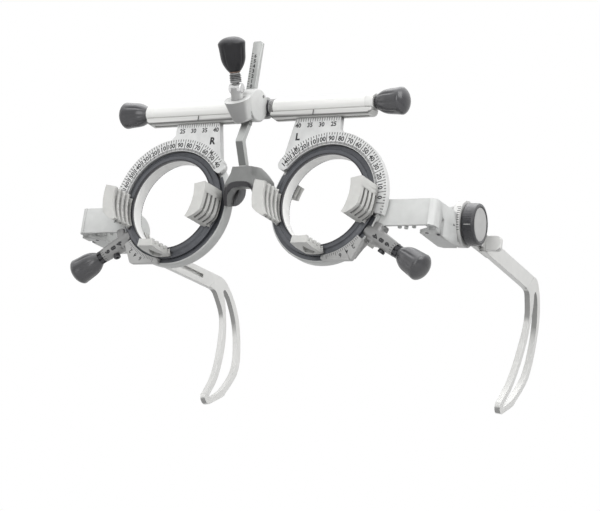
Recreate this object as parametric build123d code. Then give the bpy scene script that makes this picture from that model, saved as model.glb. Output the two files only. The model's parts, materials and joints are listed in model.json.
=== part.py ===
from build123d import *
import os
from math import cos, hypot, radians, sin

# Trial lens frame for eye examinations, as worn: +X to the wearer's left, +Y towards the
# face, +Z up. Sizes in millimetres, angles in degrees. Every shape is drawn about the
# optical datum, midway between the two lens centres in the plane of the cells' front lips.
# save() then moves it so that the origin is the place where the saddle rests on the nose.

# ---- driving dimensions -------------------------------------------------------------
HALF_PD = 33.0            # lens centre from the middle, as the millimetre scale reads it
APERTURE_R = 17.4         # free opening of a lens cell
LENS_R = 19.0             # trial lens in its metal rim, 38 mm across
BAR_Y, BAR_Z = 0.35, 36.7         # axis of the upper bar
BAR_HALF_LENGTH = 49.5
NOSE_REST_Y, NOSE_REST_Z = 1.0, 4.4       # crown of the saddle's arch

RUNNING = 0.05            # radial play of a turning or sliding fit
SEAT = 0.3                # play around a part that must swing or pass freely

# upper bar
TUBE_R, TUBE_BORE_R = 3.15, 2.35
TUBE_START, END_CAP_LENGTH = 5.4, 3.4
RAIL_HEIGHT, RAIL_DEPTH, RAIL_FLAT = 2.2, 5.4, 2.6
SCREW_R = 1.2             # lead screw that moves an eye carrier
TONGUE = 1.2              # tongue of the scale plate that rides in the bar
NUT_LENGTH = 10.0

# knobs, all of one moulding
KNOB_LENGTH, KNOB_NECK_R, KNOB_RIM_R, KNOB_DOME = 10.4, 2.5, 5.1, 2.3

# lens cell
LIP_R, LIP_Y = 19.2, -0.1
FLANGE_R, FLANGE_Y, FLANGE_BACK = 21.0, 0.9, 2.2
BARREL_R, BARREL_BACK = 19.0, 7.6
LINER_WALL, FLARE = 0.8, 1.7
HOUSING_R, HOUSING_FRONT, HOUSING_BACK, HOUSING_WEB = 23.2, 2.4, 7.5, 1.2
CROWN_TEETH, PINION_TEETH, MODULE = 66, 7, 0.6
VERNIER_BOTTOM = -22.9
DRIVE_ANGLE = -31.2       # direction of the axis drive, from the temple side's horizontal

# lens combs
COMB_R_IN, COMB_R_OUT = 18.0, 22.6
COMB_TOP, COMB_BOTTOM = 11.0, -30.0
COMB_SLOTS, SLOT_WIDTH, FIN, COMB_FACE = 4, 1.55, 1.35, 1.6

# scale plate
PLATE_THICKNESS, PLATE_R = 2.4, 26.0
TAB_NASAL, TAB_TEMPLE, TAB_TOP = -16.3, 2.7, 31.8

# temple bracket and temples, in a vertical plane that toes in towards the ears
CORNER_X, CORNER_Y = 77.0, 4.0
TOE_IN = 5.2
BRACKET_TOP, BRACKET_BOTTOM = 0.6, -9.2
BRACKET_WALL = 2.4
PIVOT_U, PIVOT_Z = 29.5, 0.3      # tilt pivot, along the side wall from its corner
PIVOT_R = 2.0
DIAL_R, DIAL_INNER, DIAL_OUTER = 8.6, -2.2, 0.8
WHEEL_R, WHEEL_BACK, WHEEL_FRONT = 7.8, 1.15, 6.0
BAR_HEIGHT, BAR_INNER, BAR_THICK, BAR_CENTRE_Z = 6.4, 1.2, 2.2, -2.5
BAR_FRONT_U, BAR_BEND_U = 40.4, 94.0
KEY_END_U, KEY_NECK, KEY_HEAD, KEY_DEPTH = 56.0, 1.7, 3.0, 1.4
HOOK_SPLAY = 6.5
TEMPLE_REACH = {"left": 2.6, "right": -2.6}   # how far each temple is drawn out at rest
TAB_U, TAB_DEPTH, TAB_OUT, TAB_HEIGHT = 41.3, 2.0, 9.2, 5.6

# hub and nose rest
SWIVEL_R, SWIVEL_WIDTH = 4.1, 6.4
HUB_GAP = 0.2             # from the bar's surface to the swivel
HUB_Y, HUB_Z, HUB_R, HUB_WIDTH = BAR_Y - TUBE_R - SWIVEL_R - HUB_GAP, 35.0, 6.2, 9.0
ROD_WIDTH, ROD_THICK, ROD_TOP = 3.6, 2.0, 60.2
SPINDLE_LEAN, SPINDLE_R = 28.0, SCREW_R
SPINDLE_Y, SPINDLE_Z = HUB_Y - 10.0, 38.1       # centre of the barrel that the spindle passes
NOSE_KNOB_ROOT = 6.3                      # from the barrel's centre to the knob
BARREL_NUT_R, BARREL_NUT_LENGTH = 1.9, 5.0
BOSS_R, BOSS_LEAN = 5.1, 43.0         # boss that carries the spindle, and its slant
BOSS_Y, BOSS_Z = HUB_Y - 8.3, 34.7              # centre of the boss's face
STEM_WIDTH = 3.0
SADDLE_TOP, SADDLE_FRONT, SADDLE_BACK, SADDLE_HALF = 11.7, -6.0, 6.4, 8.0
SADDLE_WALL, WAIST_Y, FLARE_Y = 1.6, -1.4, 3.0
PAD_WALL = 1.3

RAIL_TOP = BAR_Z - RAIL_FLAT
RAIL_BOTTOM = RAIL_TOP - RAIL_HEIGHT
TONGUE_Y = PLATE_THICKNESS / 2
GEAR_PITCH_Y = FLANGE_BACK + 0.6          # plane where crown teeth and pinion roll
PINION_R = PINION_TEETH * MODULE / 2
DRIVE_Y = GEAR_PITCH_Y + PINION_R
COMB_DEPTH = COMB_FACE + COMB_SLOTS * SLOT_WIDTH + (COMB_SLOTS - 1) * FIN
COMB_BACK = LIP_Y - 0.3


# ---- small helpers ------------------------------------------------------------------
def save(shape, name):
    """Write one sub-part, moved so that the nose rest is the origin."""
    export_step(Pos(0, -NOSE_REST_Y, -NOSE_REST_Z) * shape, f"parts/{name}.step")


def polar(radius, angle):
    """Point at this radius and angle in a cell's own plane."""
    return (radius * cos(radians(angle)), radius * sin(radians(angle)))


def facing(y):
    """Plane across the line of sight at this depth: x to the temple, local y up."""
    return Plane(origin=(0, y, 0), x_dir=(1, 0, 0), z_dir=(0, -1, 0))


def slab(sketch, y0, y1):
    """Solid of a front-view sketch between two depths."""
    return extrude(facing(y1) * sketch, amount=y1 - y0)


def outline(*points):
    """Face inside a closed polygon."""
    return make_face(Polyline(*points, close=True))


def sector(r_in, r_out, a0, a1):
    """Front-view ring sector between two radii and two angles."""
    mid = (a0 + a1) / 2
    edges = [Line(polar(r_in, a0), polar(r_out, a0)),
             ThreePointArc(polar(r_out, a0), polar(r_out, mid), polar(r_out, a1)),
             Line(polar(r_out, a1), polar(r_in, a1)),
             ThreePointArc(polar(r_in, a1), polar(r_in, mid), polar(r_in, a0))]
    return make_face(edges)


def turned(*points):
    """Solid of revolution about Y from points given as radius, depth."""
    return revolve(outline(*points), Axis.Y)


def rod(start, direction, length, radius):
    """Cylinder from a point along a direction."""
    plane = Plane(origin=start, z_dir=direction)
    return extrude(plane * Circle(radius), amount=length)


def along_x(x0, x1, y, z, radius):
    """Cylinder along X."""
    return rod((min(x0, x1), y, z), (1, 0, 0), abs(x1 - x0), radius)


def knob():
    """Bullet-shaped hand knob along +Z from its neck at the origin, bored for its shaft."""
    length, rim = KNOB_LENGTH, KNOB_RIM_R
    top = length + KNOB_DOME
    side = Spline((KNOB_NECK_R, 0), (KNOB_NECK_R + 1.35, length * 0.13), (rim - 0.42, length * 0.58),
                  (rim, length))
    dome = Spline((rim, length), (rim * 0.8, top - KNOB_DOME * 0.3), (0, top), tangents=[(0, 1), (-1, 0)])
    face = make_face([Line((0, 0), (KNOB_NECK_R, 0)), side, dome, Line((0, top), (0, 0))])
    return revolve(Plane.XZ * face, Axis.Z) - extrude(Circle(SCREW_R), amount=length * 0.6)


# ---- upper bar ----------------------------------------------------------------------
def bar_section(radius):
    """Round section of the bar, cut flat where the rail sits."""
    face = Pos(BAR_Y, BAR_Z) * Circle(radius)
    return face - Pos(BAR_Y, RAIL_TOP - radius) * Rectangle(3 * radius, 2 * radius)


def side_view(x):
    """Plane across the bar at this x: local x along +Y, local y up."""
    return Plane(origin=(x, 0, 0), x_dir=(0, 1, 0), z_dir=(1, 0, 0))


def tongue_slot(x0, x1, z0, z1):
    """Slot for the scale plate's tongue."""
    width = TONGUE + 2 * RUNNING
    return Pos((x0 + x1) / 2, TONGUE_Y, (z0 + z1) / 2) * Box(x1 - x0, width, z1 - z0)


def bar_tube():
    end = BAR_HALF_LENGTH - END_CAP_LENGTH
    tube = extrude(side_view(TUBE_START) * bar_section(TUBE_R), amount=end - TUBE_START)
    tube -= along_x(TUBE_START - 1, end + 1, BAR_Y, BAR_Z, TUBE_BORE_R)
    return tube - tongue_slot(TUBE_START + 1.6, end - 1, RAIL_TOP - 1, BAR_Z - 1)


def rail():
    start, end = TUBE_START + 0.6, BAR_HALF_LENGTH - 0.2
    y = BAR_Y + 0.2
    front = outline((start, RAIL_TOP), (end, RAIL_TOP), (end, RAIL_BOTTOM), (start, RAIL_BOTTOM))
    front = fillet(front.vertices().group_by(Axis.Y)[0], 1.6)
    body = slab(front, y - RAIL_DEPTH / 2, y + RAIL_DEPTH / 2)
    body = chamfer(body.edges().filter_by(Axis.X).group_by(Axis.Z)[0], 0.5)
    return body - tongue_slot(TUBE_START + 1.6, end - 2.4, RAIL_BOTTOM - 1, RAIL_TOP + 1)


def end_cap():
    start = BAR_HALF_LENGTH - END_CAP_LENGTH
    cap = extrude(side_view(start) * bar_section(TUBE_R), amount=END_CAP_LENGTH)
    cap += along_x(start - 2.5, start + 1, BAR_Y, BAR_Z, TUBE_BORE_R)
    cap -= tongue_slot(start - 3, start, RAIL_TOP - 1, BAR_Z - 1)
    return cap - along_x(start - 3, BAR_HALF_LENGTH + 1, BAR_Y, BAR_Z, SCREW_R + RUNNING)


def lead_screw():
    screw = along_x(TUBE_START + 4.6, BAR_HALF_LENGTH + 6, BAR_Y, BAR_Z, SCREW_R)
    collar = along_x(BAR_HALF_LENGTH - END_CAP_LENGTH - 3.7, BAR_HALF_LENGTH - END_CAP_LENGTH - 2.7,
                     BAR_Y, BAR_Z, TUBE_BORE_R - 0.25)
    return screw + collar


def pd_knob():
    return Pos(BAR_HALF_LENGTH + 0.3, BAR_Y, BAR_Z) * Rot(0, 90, 0) * knob()


# ---- eye carrier: slides along the bar ----------------------------------------------
def carrier_nut():
    centre = HALF_PD + (TAB_NASAL + TAB_TEMPLE) / 2
    nut = along_x(centre - NUT_LENGTH / 2, centre + NUT_LENGTH / 2, BAR_Y, BAR_Z, TUBE_BORE_R - RUNNING)
    nut -= along_x(centre - NUT_LENGTH, centre + NUT_LENGTH, BAR_Y, BAR_Z, SCREW_R + RUNNING)
    slot_top = BAR_Z - SCREW_R - 0.6
    return nut - Pos(centre, TONGUE_Y, slot_top - 2) * Box(NUT_LENGTH * 2, TONGUE, 4)


def scale_plate():
    """Protractor arc with its tab, and the tongue that hangs it in the bar."""
    arc = sector(FLANGE_R + 0.15, PLATE_R, -14, 143)
    ear = Pos(*polar((FLANGE_R + PLATE_R) / 2 + 0.1, 143.5)) * Circle((PLATE_R - FLANGE_R) / 2 - 0.25)
    shoulder = PLATE_R + 1.2
    tab = outline((TAB_NASAL, TAB_TOP), (TAB_TEMPLE, TAB_TOP), (TAB_TEMPLE + 0.2, shoulder),
                  (TAB_TEMPLE + 1.6, PLATE_R - 0.4), (0, LENS_R + 3), (-14, LENS_R - 2),
                  polar(PLATE_R - 1.6, 142), (TAB_NASAL - 2.9, 17.0))
    plate = arc + ear + tab - Circle(FLANGE_R + 0.15)
    body = slab(plate, 0, PLATE_THICKNESS)
    tongue_top = BAR_Z - SCREW_R - 0.6
    centre = (TAB_NASAL + TAB_TEMPLE) / 2
    body += Pos(centre, TONGUE_Y, (TAB_TOP + tongue_top) / 2) * Box(14.5, TONGUE, tongue_top - TAB_TOP)
    hole = Pos(TAB_NASAL + 1.6, 0, 19.8) * Rot(90, 0, 0) * Cylinder(0.6, 12)
    return Pos(HALF_PD, 0, 0) * (body - hole)


def drive_axis(radius):
    """Point on the axis drive's centre line at this distance from the lens centre."""
    x, z = polar(radius, DRIVE_ANGLE)
    return (x, DRIVE_Y, z)


def drive_rod(r0, r1, radius):
    """Cylinder on the axis drive's centre line."""
    x, z = polar(1, DRIVE_ANGLE)
    return rod(drive_axis(r0), (x, 0, z), r1 - r0, radius)


def cell_housing():
    """Fixed ring behind the scale plate that the turning cell runs in."""
    web_front = HOUSING_BACK - HOUSING_WEB
    ring = turned((FLANGE_R + 0.2, HOUSING_FRONT), (HOUSING_R - 0.5, HOUSING_FRONT),
                  (HOUSING_R, HOUSING_FRONT + 0.5), (HOUSING_R, HOUSING_BACK - 0.8),
                  (HOUSING_R - 0.8, HOUSING_BACK), (BARREL_R + RUNNING, HOUSING_BACK),
                  (BARREL_R + RUNNING, web_front), (FLANGE_R + 0.2, web_front))
    return Pos(HALF_PD, 0, 0) * (ring - drive_rod(LENS_R - 1, HOUSING_R + 2, PINION_R + 0.75))


SLEEVE_END, SLEEVE_R0, SLEEVE_R1 = 35.4, 3.3, 2.6


def gear_housing():
    """Tapered sleeve that carries the axis drive, with its foot around the pinion."""
    x, z = polar(1, DRIVE_ANGLE)
    foot = Plane(origin=drive_axis(FLANGE_R + 0.3), z_dir=(x, 0, z))
    end = Plane(origin=drive_axis(SLEEVE_END), z_dir=(x, 0, z))
    sleeve = loft([foot * Circle(SLEEVE_R0), end * Circle(SLEEVE_R1)])
    shoe = sector(HOUSING_R + 0.05, PLATE_R + 0.6, DRIVE_ANGLE - 7.5, DRIVE_ANGLE + 11)
    shoe = slab(shoe, 2.5, HOUSING_BACK)
    shoe = fillet(shoe.edges().filter_by(Axis.Y), 1.0)
    body = sleeve + shoe
    body -= turned((0, -5), (FLANGE_R + 0.25, -5), (FLANGE_R + 0.25, 15), (0, 15))
    room = turned((0, HOUSING_FRONT), (HOUSING_R, HOUSING_FRONT), (HOUSING_R, HOUSING_BACK), (0, HOUSING_BACK))
    body -= room - drive_rod(LENS_R - 1, HOUSING_R + 2, PINION_R + 0.75)
    body -= turned((0, HOUSING_BACK), (HOUSING_R, HOUSING_BACK), (HOUSING_R, 15), (0, 15))
    body -= drive_rod(LENS_R, HOUSING_R + 0.4, PINION_R + 0.6)
    body -= drive_rod(LENS_R, SLEEVE_END + 1, SCREW_R + RUNNING)
    return Pos(HALF_PD, 0, 0) * body


def vernier_block():
    """Lower scale block under the cell."""
    window = outline((2.0, -18.0), (2.4, VERNIER_BOTTOM), (14.8, VERNIER_BOTTOM), (18.4, -15.4), (14, -12))
    window = fillet(window.vertices().sort_by(Axis.Y)[:2], 0.9)
    block = slab(window - Circle(FLANGE_R + 0.15), 0.4, HOUSING_FRONT)
    heel = outline((9.0, VERNIER_BOTTOM + 1.6), (14.0, VERNIER_BOTTOM + 1.6), (18.2, -15.6), (14, -12))
    block += slab(heel - Circle(HOUSING_R + 0.05), HOUSING_FRONT, HOUSING_BACK - 2.4)
    return Pos(HALF_PD, 0, 0) * block


def rear_clips():
    """Two rear lens holders on the back of the housing."""
    back = HOUSING_BACK
    clips = []
    for angle in (160, -35):
        foot = slab(sector(BARREL_R + 1.7, HOUSING_R - 0.8, angle - 8, angle + 8), back, back + 1.2)
        head = slab(sector(COMB_R_IN, HOUSING_R - 0.8, angle - 8, angle + 8), back + 1.0, back + 4.6)
        groove = sector(COMB_R_IN - 1, LENS_R + 0.4, angle - 9, angle + 9)
        groove = slab(groove, back + 2.2, back + 2.2 + SLOT_WIDTH)
        clips.append(Pos(HALF_PD, 0, 0) * (foot + head - groove))
    return Compound(children=clips)


# ---- temple bracket: part of the carrier --------------------------------------------
def toed(shape):
    """Move a shape drawn about the bracket's corner into the toed-in side plane."""
    return Pos(CORNER_X, CORNER_Y, 0) * Rot(0, 0, TOE_IN) * shape


def side_face(off):
    """Side-view plane in the bracket's own frame: local x backwards, local y up."""
    return Plane(origin=(off, 0, 0), x_dir=(0, 1, 0), z_dir=(1, 0, 0))


def side_slab(sketch, off0, off1):
    """Solid of a side-view sketch between two distances outwards."""
    return extrude(side_face(off0) * sketch, amount=off1 - off0)


def bracket():
    """Arm from the cell to the temple pivot: front plate, rounded corner, side wall, ear."""
    height = BRACKET_TOP - BRACKET_BOTTOM
    mid_z = (BRACKET_TOP + BRACKET_BOTTOM) / 2
    reach = CORNER_X - HALF_PD - FLANGE_R          # front plate, from the corner to the cell
    depth = 4.6
    front = Pos(-reach / 2, depth / 2, mid_z) * Box(reach, depth, height)
    pocket = Pos(-(reach + BRACKET_WALL) / 2, depth / 2 + 0.6, mid_z - 1.6) * Box(
        reach - 2 * BRACKET_WALL, depth - 1.2, height)
    ribs = [Pos(-x, depth / 2 + 0.6, mid_z + 1.6) * Box(0.8, depth - 1.2, height - 3.2) for x in (7, 11, 15)]
    arm = front - pocket
    for rib in ribs:
        arm += rib
    arm = Pos(CORNER_X, CORNER_Y, 0) * arm

    pivot = Pos(PIVOT_U, PIVOT_Z) * Circle(DIAL_R + 0.4)
    wall = outline((0, BRACKET_TOP), (16.5, BRACKET_TOP + 1.0), (PIVOT_U - 8, BRACKET_TOP + 1.2),
                   (PIVOT_U - 3, BRACKET_BOTTOM), (0, BRACKET_BOTTOM)) - pivot
    side = side_slab(wall, -BRACKET_WALL, 0)
    ear = outline((8, BRACKET_TOP - 0.6), (PIVOT_U, PIVOT_Z + 6.6), (PIVOT_U, PIVOT_Z - 6.6),
                  (14, BRACKET_BOTTOM + 0.4), (8, BRACKET_BOTTOM + 0.4))
    ear += Pos(PIVOT_U, PIVOT_Z) * Circle(6.6)
    side += side_slab(ear, -BRACKET_WALL - 2.6, -BRACKET_WALL)
    floor = outline((0, 3), (-BRACKET_WALL, 3), (-7.4, 6.4), (-6.8, 22.5), (-5.2, 24.2), (0, 24.2))
    side += extrude(Plane.XY.offset(BRACKET_BOTTOM - 1.2) * floor, amount=1.3)
    notch = outline((7.6, -4.0), (9.8, -4.4), (9.8, BRACKET_BOTTOM - 2), (7.0, BRACKET_BOTTOM - 2))
    side -= side_slab(notch, -BRACKET_WALL + 0.6, 1)
    pivot_bore = side_slab(Pos(PIVOT_U, PIVOT_Z) * Circle(PIVOT_R + RUNNING), -12, 4)
    body = arm + toed(side - pivot_bore)
    corner = body.edges().filter_by(Axis.Z).filter_by(
        lambda e: abs(e.center().X - CORNER_X) < 0.6 and abs(e.center().Y - CORNER_Y) < 0.6)
    body = fillet(corner, 2.6)
    root = turned((0, -5), (PLATE_R + 0.8, -5), (PLATE_R + 0.8, 2.45), (HOUSING_R + 0.05, 2.45),
                  (HOUSING_R + 0.05, 15), (0, 15))
    return body - Pos(HALF_PD, 0, 0) * root


def bracket_seated():
    """Bracket cut back to seat on the drive's sleeve."""
    sleeve = Pos(HALF_PD, 0, 0) * drive_rod(FLANGE_R, SLEEVE_END, SLEEVE_R0 + 0.05)
    return bracket() - sleeve - gear_housing()


# ---- turning cell -------------------------------------------------------------------
def crown_tooth():
    """One tooth of the ring's crown gear, pointing back, on the +X side."""
    tip, root = GEAR_PITCH_Y + 0.5, FLANGE_BACK - 0.1
    profile = outline((-0.5, root), (0.5, root), (0.27, tip), (-0.27, tip))
    plane = Plane(origin=(BARREL_R + 0.2, 0, 0), x_dir=(0, 0, -1), z_dir=(1, 0, 0))
    return extrude(plane * profile, amount=FLANGE_R - BARREL_R - 0.3)


def cell_ring():
    """Dark ring with its raised lip, barrel and crown gear."""
    inner = APERTURE_R + LINER_WALL
    ring = turned((APERTURE_R, LIP_Y), (LIP_R - 0.3, LIP_Y), (LIP_R, LIP_Y + 0.3), (LIP_R, FLANGE_Y),
                  (FLANGE_R - 0.3, FLANGE_Y), (FLANGE_R, FLANGE_Y + 0.3), (FLANGE_R, FLANGE_BACK),
                  (BARREL_R, FLANGE_BACK), (BARREL_R, BARREL_BACK), (inner, BARREL_BACK),
                  (inner, 1.2), (APERTURE_R, 1.2))
    pitch = 360 / CROWN_TEETH
    for tooth in range(CROWN_TEETH):
        ring += Rot(0, -DRIVE_ANGLE + pitch * (tooth + 0.5), 0) * crown_tooth()
    return Pos(HALF_PD, 0, 0) * ring


def cell_liner():
    """Light liner of the barrel; its flange keeps the cell in the housing."""
    liner = turned((APERTURE_R, 1.2), (APERTURE_R + LINER_WALL, 1.2), (APERTURE_R + LINER_WALL, BARREL_BACK),
                   (BARREL_R + 1.3, BARREL_BACK), (BARREL_R + 1.3, BARREL_BACK + 0.6),
                   (APERTURE_R + LINER_WALL * 1.6, BARREL_BACK + 0.6), (APERTURE_R, BARREL_BACK - FLARE))
    return Pos(HALF_PD, 0, 0) * liner


def lens_grooves(a0, a1):
    """Grooves that take the rims of the trial lenses."""
    grooves = []
    for slot in range(COMB_SLOTS):
        back = COMB_BACK - slot * (SLOT_WIDTH + FIN)
        grooves.append(slab(sector(COMB_R_IN - 1, LENS_R + 0.4, a0 - 2, a1 + 2), back - SLOT_WIDTH, back))
    return grooves


def comb(side):
    """Slotted lens holder beside the aperture; side is 1 for the temple's, -1 for the nose's."""
    top, bottom = COMB_TOP, COMB_BOTTOM
    mid = (top + bottom) / 2
    chin = polar(COMB_R_OUT, bottom * 0.55)
    edges = [Line(polar(COMB_R_IN, top), polar(COMB_R_OUT, top)),
             ThreePointArc(polar(COMB_R_OUT, top), polar(COMB_R_OUT, mid / 2), chin),
             ThreePointArc(chin, polar(COMB_R_OUT - 1.5, bottom * 0.78), polar(COMB_R_IN + 1.2, bottom)),
             Line(polar(COMB_R_IN + 1.2, bottom), polar(COMB_R_IN, bottom)),
             ThreePointArc(polar(COMB_R_IN, bottom), polar(COMB_R_IN, mid), polar(COMB_R_IN, top))]
    profile = make_face(edges)
    body = slab(profile, COMB_BACK - COMB_DEPTH, COMB_BACK)
    for slot, groove in enumerate(lens_grooves(bottom, top)):
        back = COMB_BACK - slot * (SLOT_WIDTH + FIN)
        body -= groove
        through = sector(COMB_R_IN - 1, COMB_R_OUT + 1, bottom + 4, 1)
        body -= slab(through, back - SLOT_WIDTH + 0.15, back - 0.15)
    foot = slab(sector(LIP_R + 0.02, FLANGE_R - 0.4, bottom + 3, top - 3), COMB_BACK, FLANGE_Y)
    pad = slab(sector(COMB_R_IN, LIP_R + 0.02, bottom + 3, top - 3), COMB_BACK, LIP_Y)
    body += foot + pad
    return Pos(HALF_PD, 0, 0) * (body if side > 0 else mirror(body, Plane.YZ))


def bottom_clip():
    """Short lower lens holder with a relieved underside."""
    half = 9.5
    front = COMB_BACK - COMB_DEPTH
    body = slab(sector(COMB_R_IN - 0.4, COMB_R_IN + 3.0, -90 - half, -90 + half), front, COMB_BACK)
    slope = Pos(0, front, -COMB_R_IN - 3.2) * Rot(-7, 0, 0) * Box(12, 2 * COMB_DEPTH + 4, 2.0)
    body -= slope
    for groove in lens_grooves(-90 - half, -90 + half):
        body -= groove
    relief = outline((-2.4, -3.0), (0.2, -1.4), (2.4, -3.0), (0.2, -9.4))
    body -= extrude(Plane.XY.offset(-COMB_R_IN - 4) * relief, amount=2.3)
    foot = slab(sector(LIP_R + 0.02, FLANGE_R - 0.4, -90 - half, -90 + half), COMB_BACK, FLANGE_Y)
    pad = slab(sector(COMB_R_IN, LIP_R + 0.02, -90 - half, -90 + half), COMB_BACK, LIP_Y)
    return Pos(HALF_PD, 0, 0) * (body + foot + pad)


# ---- axis drive ---------------------------------------------------------------------
def axis_shaft():
    """Pinion, shaft and notched collar on the drive's centre line."""
    x, z = polar(1, DRIVE_ANGLE)
    start = BARREL_R + 0.35
    face = Circle(PINION_R - 0.75)
    tooth = outline((PINION_R - 1.2, -0.42), (PINION_R + 0.1, -0.34), (PINION_R + 0.45, -0.2),
                    (PINION_R + 0.45, 0.2), (PINION_R + 0.1, 0.34), (PINION_R - 1.2, 0.42))
    for turn in range(PINION_TEETH):
        face += Rot(0, 0, 360 / PINION_TEETH * turn) * tooth
    plane = Plane(origin=drive_axis(start), x_dir=(0, -1, 0), z_dir=(x, 0, z))
    shaft = extrude(plane * face, amount=FLANGE_R - 0.1 - start)
    shaft += drive_rod(start, SLEEVE_END + 8, SCREW_R)
    collar = Circle(SLEEVE_R1 - 0.1)
    for turn in range(8):
        collar -= Rot(0, 0, 45 * turn) * Pos(SLEEVE_R1, 0) * Rectangle(0.9, 0.8)
    collar_plane = Plane(origin=drive_axis(SLEEVE_END + 0.1), x_dir=(0, -1, 0), z_dir=(x, 0, z))
    shaft += extrude(collar_plane * collar, amount=1.9)
    return Pos(HALF_PD, 0, 0) * shaft


def axis_knob():
    x, z = polar(1, DRIVE_ANGLE)
    plane = Plane(origin=drive_axis(SLEEVE_END + 2.0), x_dir=(0, -1, 0), z_dir=(x, 0, z))
    return Pos(HALF_PD, 0, 0) * plane.location * knob()


# ---- temple holder, wheel and temple ------------------------------------------------
BAR_Z0 = BAR_CENTRE_Z - BAR_HEIGHT / 2
BAR_Z1 = BAR_CENTRE_Z + BAR_HEIGHT / 2


def key_section(play):
    """T section of the guide key, grown by this play, seen along the temple."""
    neck = Rectangle(KEY_DEPTH / 2 + 1.0, KEY_NECK + 2 * play)
    neck = Pos(BAR_INNER + KEY_DEPTH / 4 - 0.5, BAR_CENTRE_Z) * neck
    head = Rectangle(KEY_DEPTH / 2 + 2 * play, KEY_HEAD + 2 * play)
    head = Pos(BAR_INNER + KEY_DEPTH * 0.75, BAR_CENTRE_Z) * head
    return neck + head


def along_temple(section, u0, u1):
    """Extrude a section seen along the temple, from u0 to u1."""
    return extrude(Plane(origin=(0, u1, 0), x_dir=(1, 0, 0), z_dir=(0, -1, 0)) * section, amount=u1 - u0)


def temple_holder():
    """Dial disc on the pivot with the backing arm and T key that the temple slides on."""
    disc = side_slab(Pos(PIVOT_U, PIVOT_Z) * Circle(DIAL_R), DIAL_INNER, DIAL_OUTER)
    half = BAR_HEIGHT / 2 - 0.6
    arm = outline((PIVOT_U, BAR_CENTRE_Z - half), (KEY_END_U, BAR_CENTRE_Z - half + 0.8),
                  (KEY_END_U, BAR_CENTRE_Z + half - 0.8), (PIVOT_U, BAR_CENTRE_Z + half + 2.0))
    body = disc + side_slab(arm, BAR_INNER - 2.2, BAR_INNER - RUNNING)
    body -= side_slab(Pos(PIVOT_U, PIVOT_Z) * Circle(DIAL_R), DIAL_OUTER, BAR_INNER + 1)
    body += along_temple(key_section(0), BAR_FRONT_U - 2.0, KEY_END_U)
    return toed(body - side_slab(Pos(PIVOT_U, PIVOT_Z) * Circle(PIVOT_R), -8, 8))


def side_wheel():
    """Knurled hand wheel that tilts the temple, with a recess for its cap."""
    wheel = side_slab(Pos(PIVOT_U, PIVOT_Z) * Circle(WHEEL_R), WHEEL_BACK, WHEEL_FRONT)
    wheel = chamfer(wheel.edges().group_by(Axis.X)[-1], 0.7)
    wheel += side_slab(Pos(PIVOT_U, PIVOT_Z) * Circle(4.0), DIAL_OUTER, WHEEL_BACK)
    wheel -= side_slab(Pos(PIVOT_U, PIVOT_Z) * Circle(WHEEL_R - 1.5), WHEEL_FRONT - 1.2, WHEEL_FRONT + 1)
    return toed(wheel - side_slab(Pos(PIVOT_U, PIVOT_Z) * Circle(PIVOT_R), -8, 8))


def pivot_screw():
    """Pivot pin with the flat disc head that caps the wheel."""
    head = side_slab(Pos(PIVOT_U, PIVOT_Z) * Circle(WHEEL_R - 1.55), WHEEL_FRONT - 1.2, WHEEL_FRONT - 0.1)
    head = chamfer(head.edges().group_by(Axis.X)[-1], 0.3)
    pin = side_slab(Pos(PIVOT_U, PIVOT_Z) * Circle(PIVOT_R), -BRACKET_WALL - 2.6, WHEEL_FRONT - 1.0)
    return toed(head + pin)


def temple(side):
    """Flat side bar with its T groove, and the open ear hook behind it."""
    bar = outline((BAR_FRONT_U, BAR_Z0), (BAR_BEND_U - 6, BAR_Z0), (BAR_BEND_U, BAR_Z1),
                  (BAR_FRONT_U, BAR_Z1))
    body = side_slab(bar, BAR_INNER, BAR_INNER + BAR_THICK)
    hook = side_slab(hook_face(), -BAR_THICK / 2, BAR_THICK / 2)
    lean = Pos(BAR_INNER + BAR_THICK / 2, 0, BAR_CENTRE_Z) * Rot(0, HOOK_SPLAY, 0) * Pos(0, 0, -BAR_CENTRE_Z)
    body += lean * hook
    body -= along_temple(key_section(RUNNING), BAR_FRONT_U - 1, BAR_BEND_U - 11)
    return toed(Pos(0, TEMPLE_REACH[side], 0) * body)


def hook_face():
    """Side view of the hook: a long loop, round at its tip, with an open slot."""
    rear = Spline((BAR_BEND_U, BAR_Z1), (102.3, -3.5), (106.3, -8.5), (109.5, -15.8), (111.4, -27.6),
                  (109.9, -37.8), (102.6, -48.2), (92.6, -55.0), tangents=[(1, 0), (-1, -0.6)])
    tip = ThreePointArc((92.6, -55.0), (89.4, -54.0), (89.8, -50.4))
    front = Spline((89.8, -50.4), (93.2, -44.9), (96.8, -34.7), (98.3, -24.6), (97.3, -13.5), (93.9, -8.4),
                   (88.0, BAR_Z0), tangents=[(0.6, 1), (-1, 0)])
    loop = make_face([rear, tip, front, Line((88.0, BAR_Z0), (BAR_BEND_U, BAR_Z1))])
    slot_rear = Spline((98.6, -4.2), (103.8, -9.6), (107.1, -16.6), (108.9, -27.6), (107.6, -36.8),
                       (101.0, -46.2), (92.8, -52.2), tangents=[(1, -0.5), (-1, -0.65)])
    slot_tip = ThreePointArc((92.8, -52.2), (91.9, -52.1), (92.1, -51.2))
    slot_front = Spline((92.1, -51.2), (95.5, -45.7), (99.2, -35.3), (100.8, -24.6), (99.7, -12.6),
                        (97.6, -6.0), tangents=[(0.6, 1), (-0.5, 1)])
    slot_top = ThreePointArc((97.6, -6.0), (97.6, -4.6), (98.6, -4.2))
    return loop - make_face([slot_rear, slot_tip, slot_front, slot_top])


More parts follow.
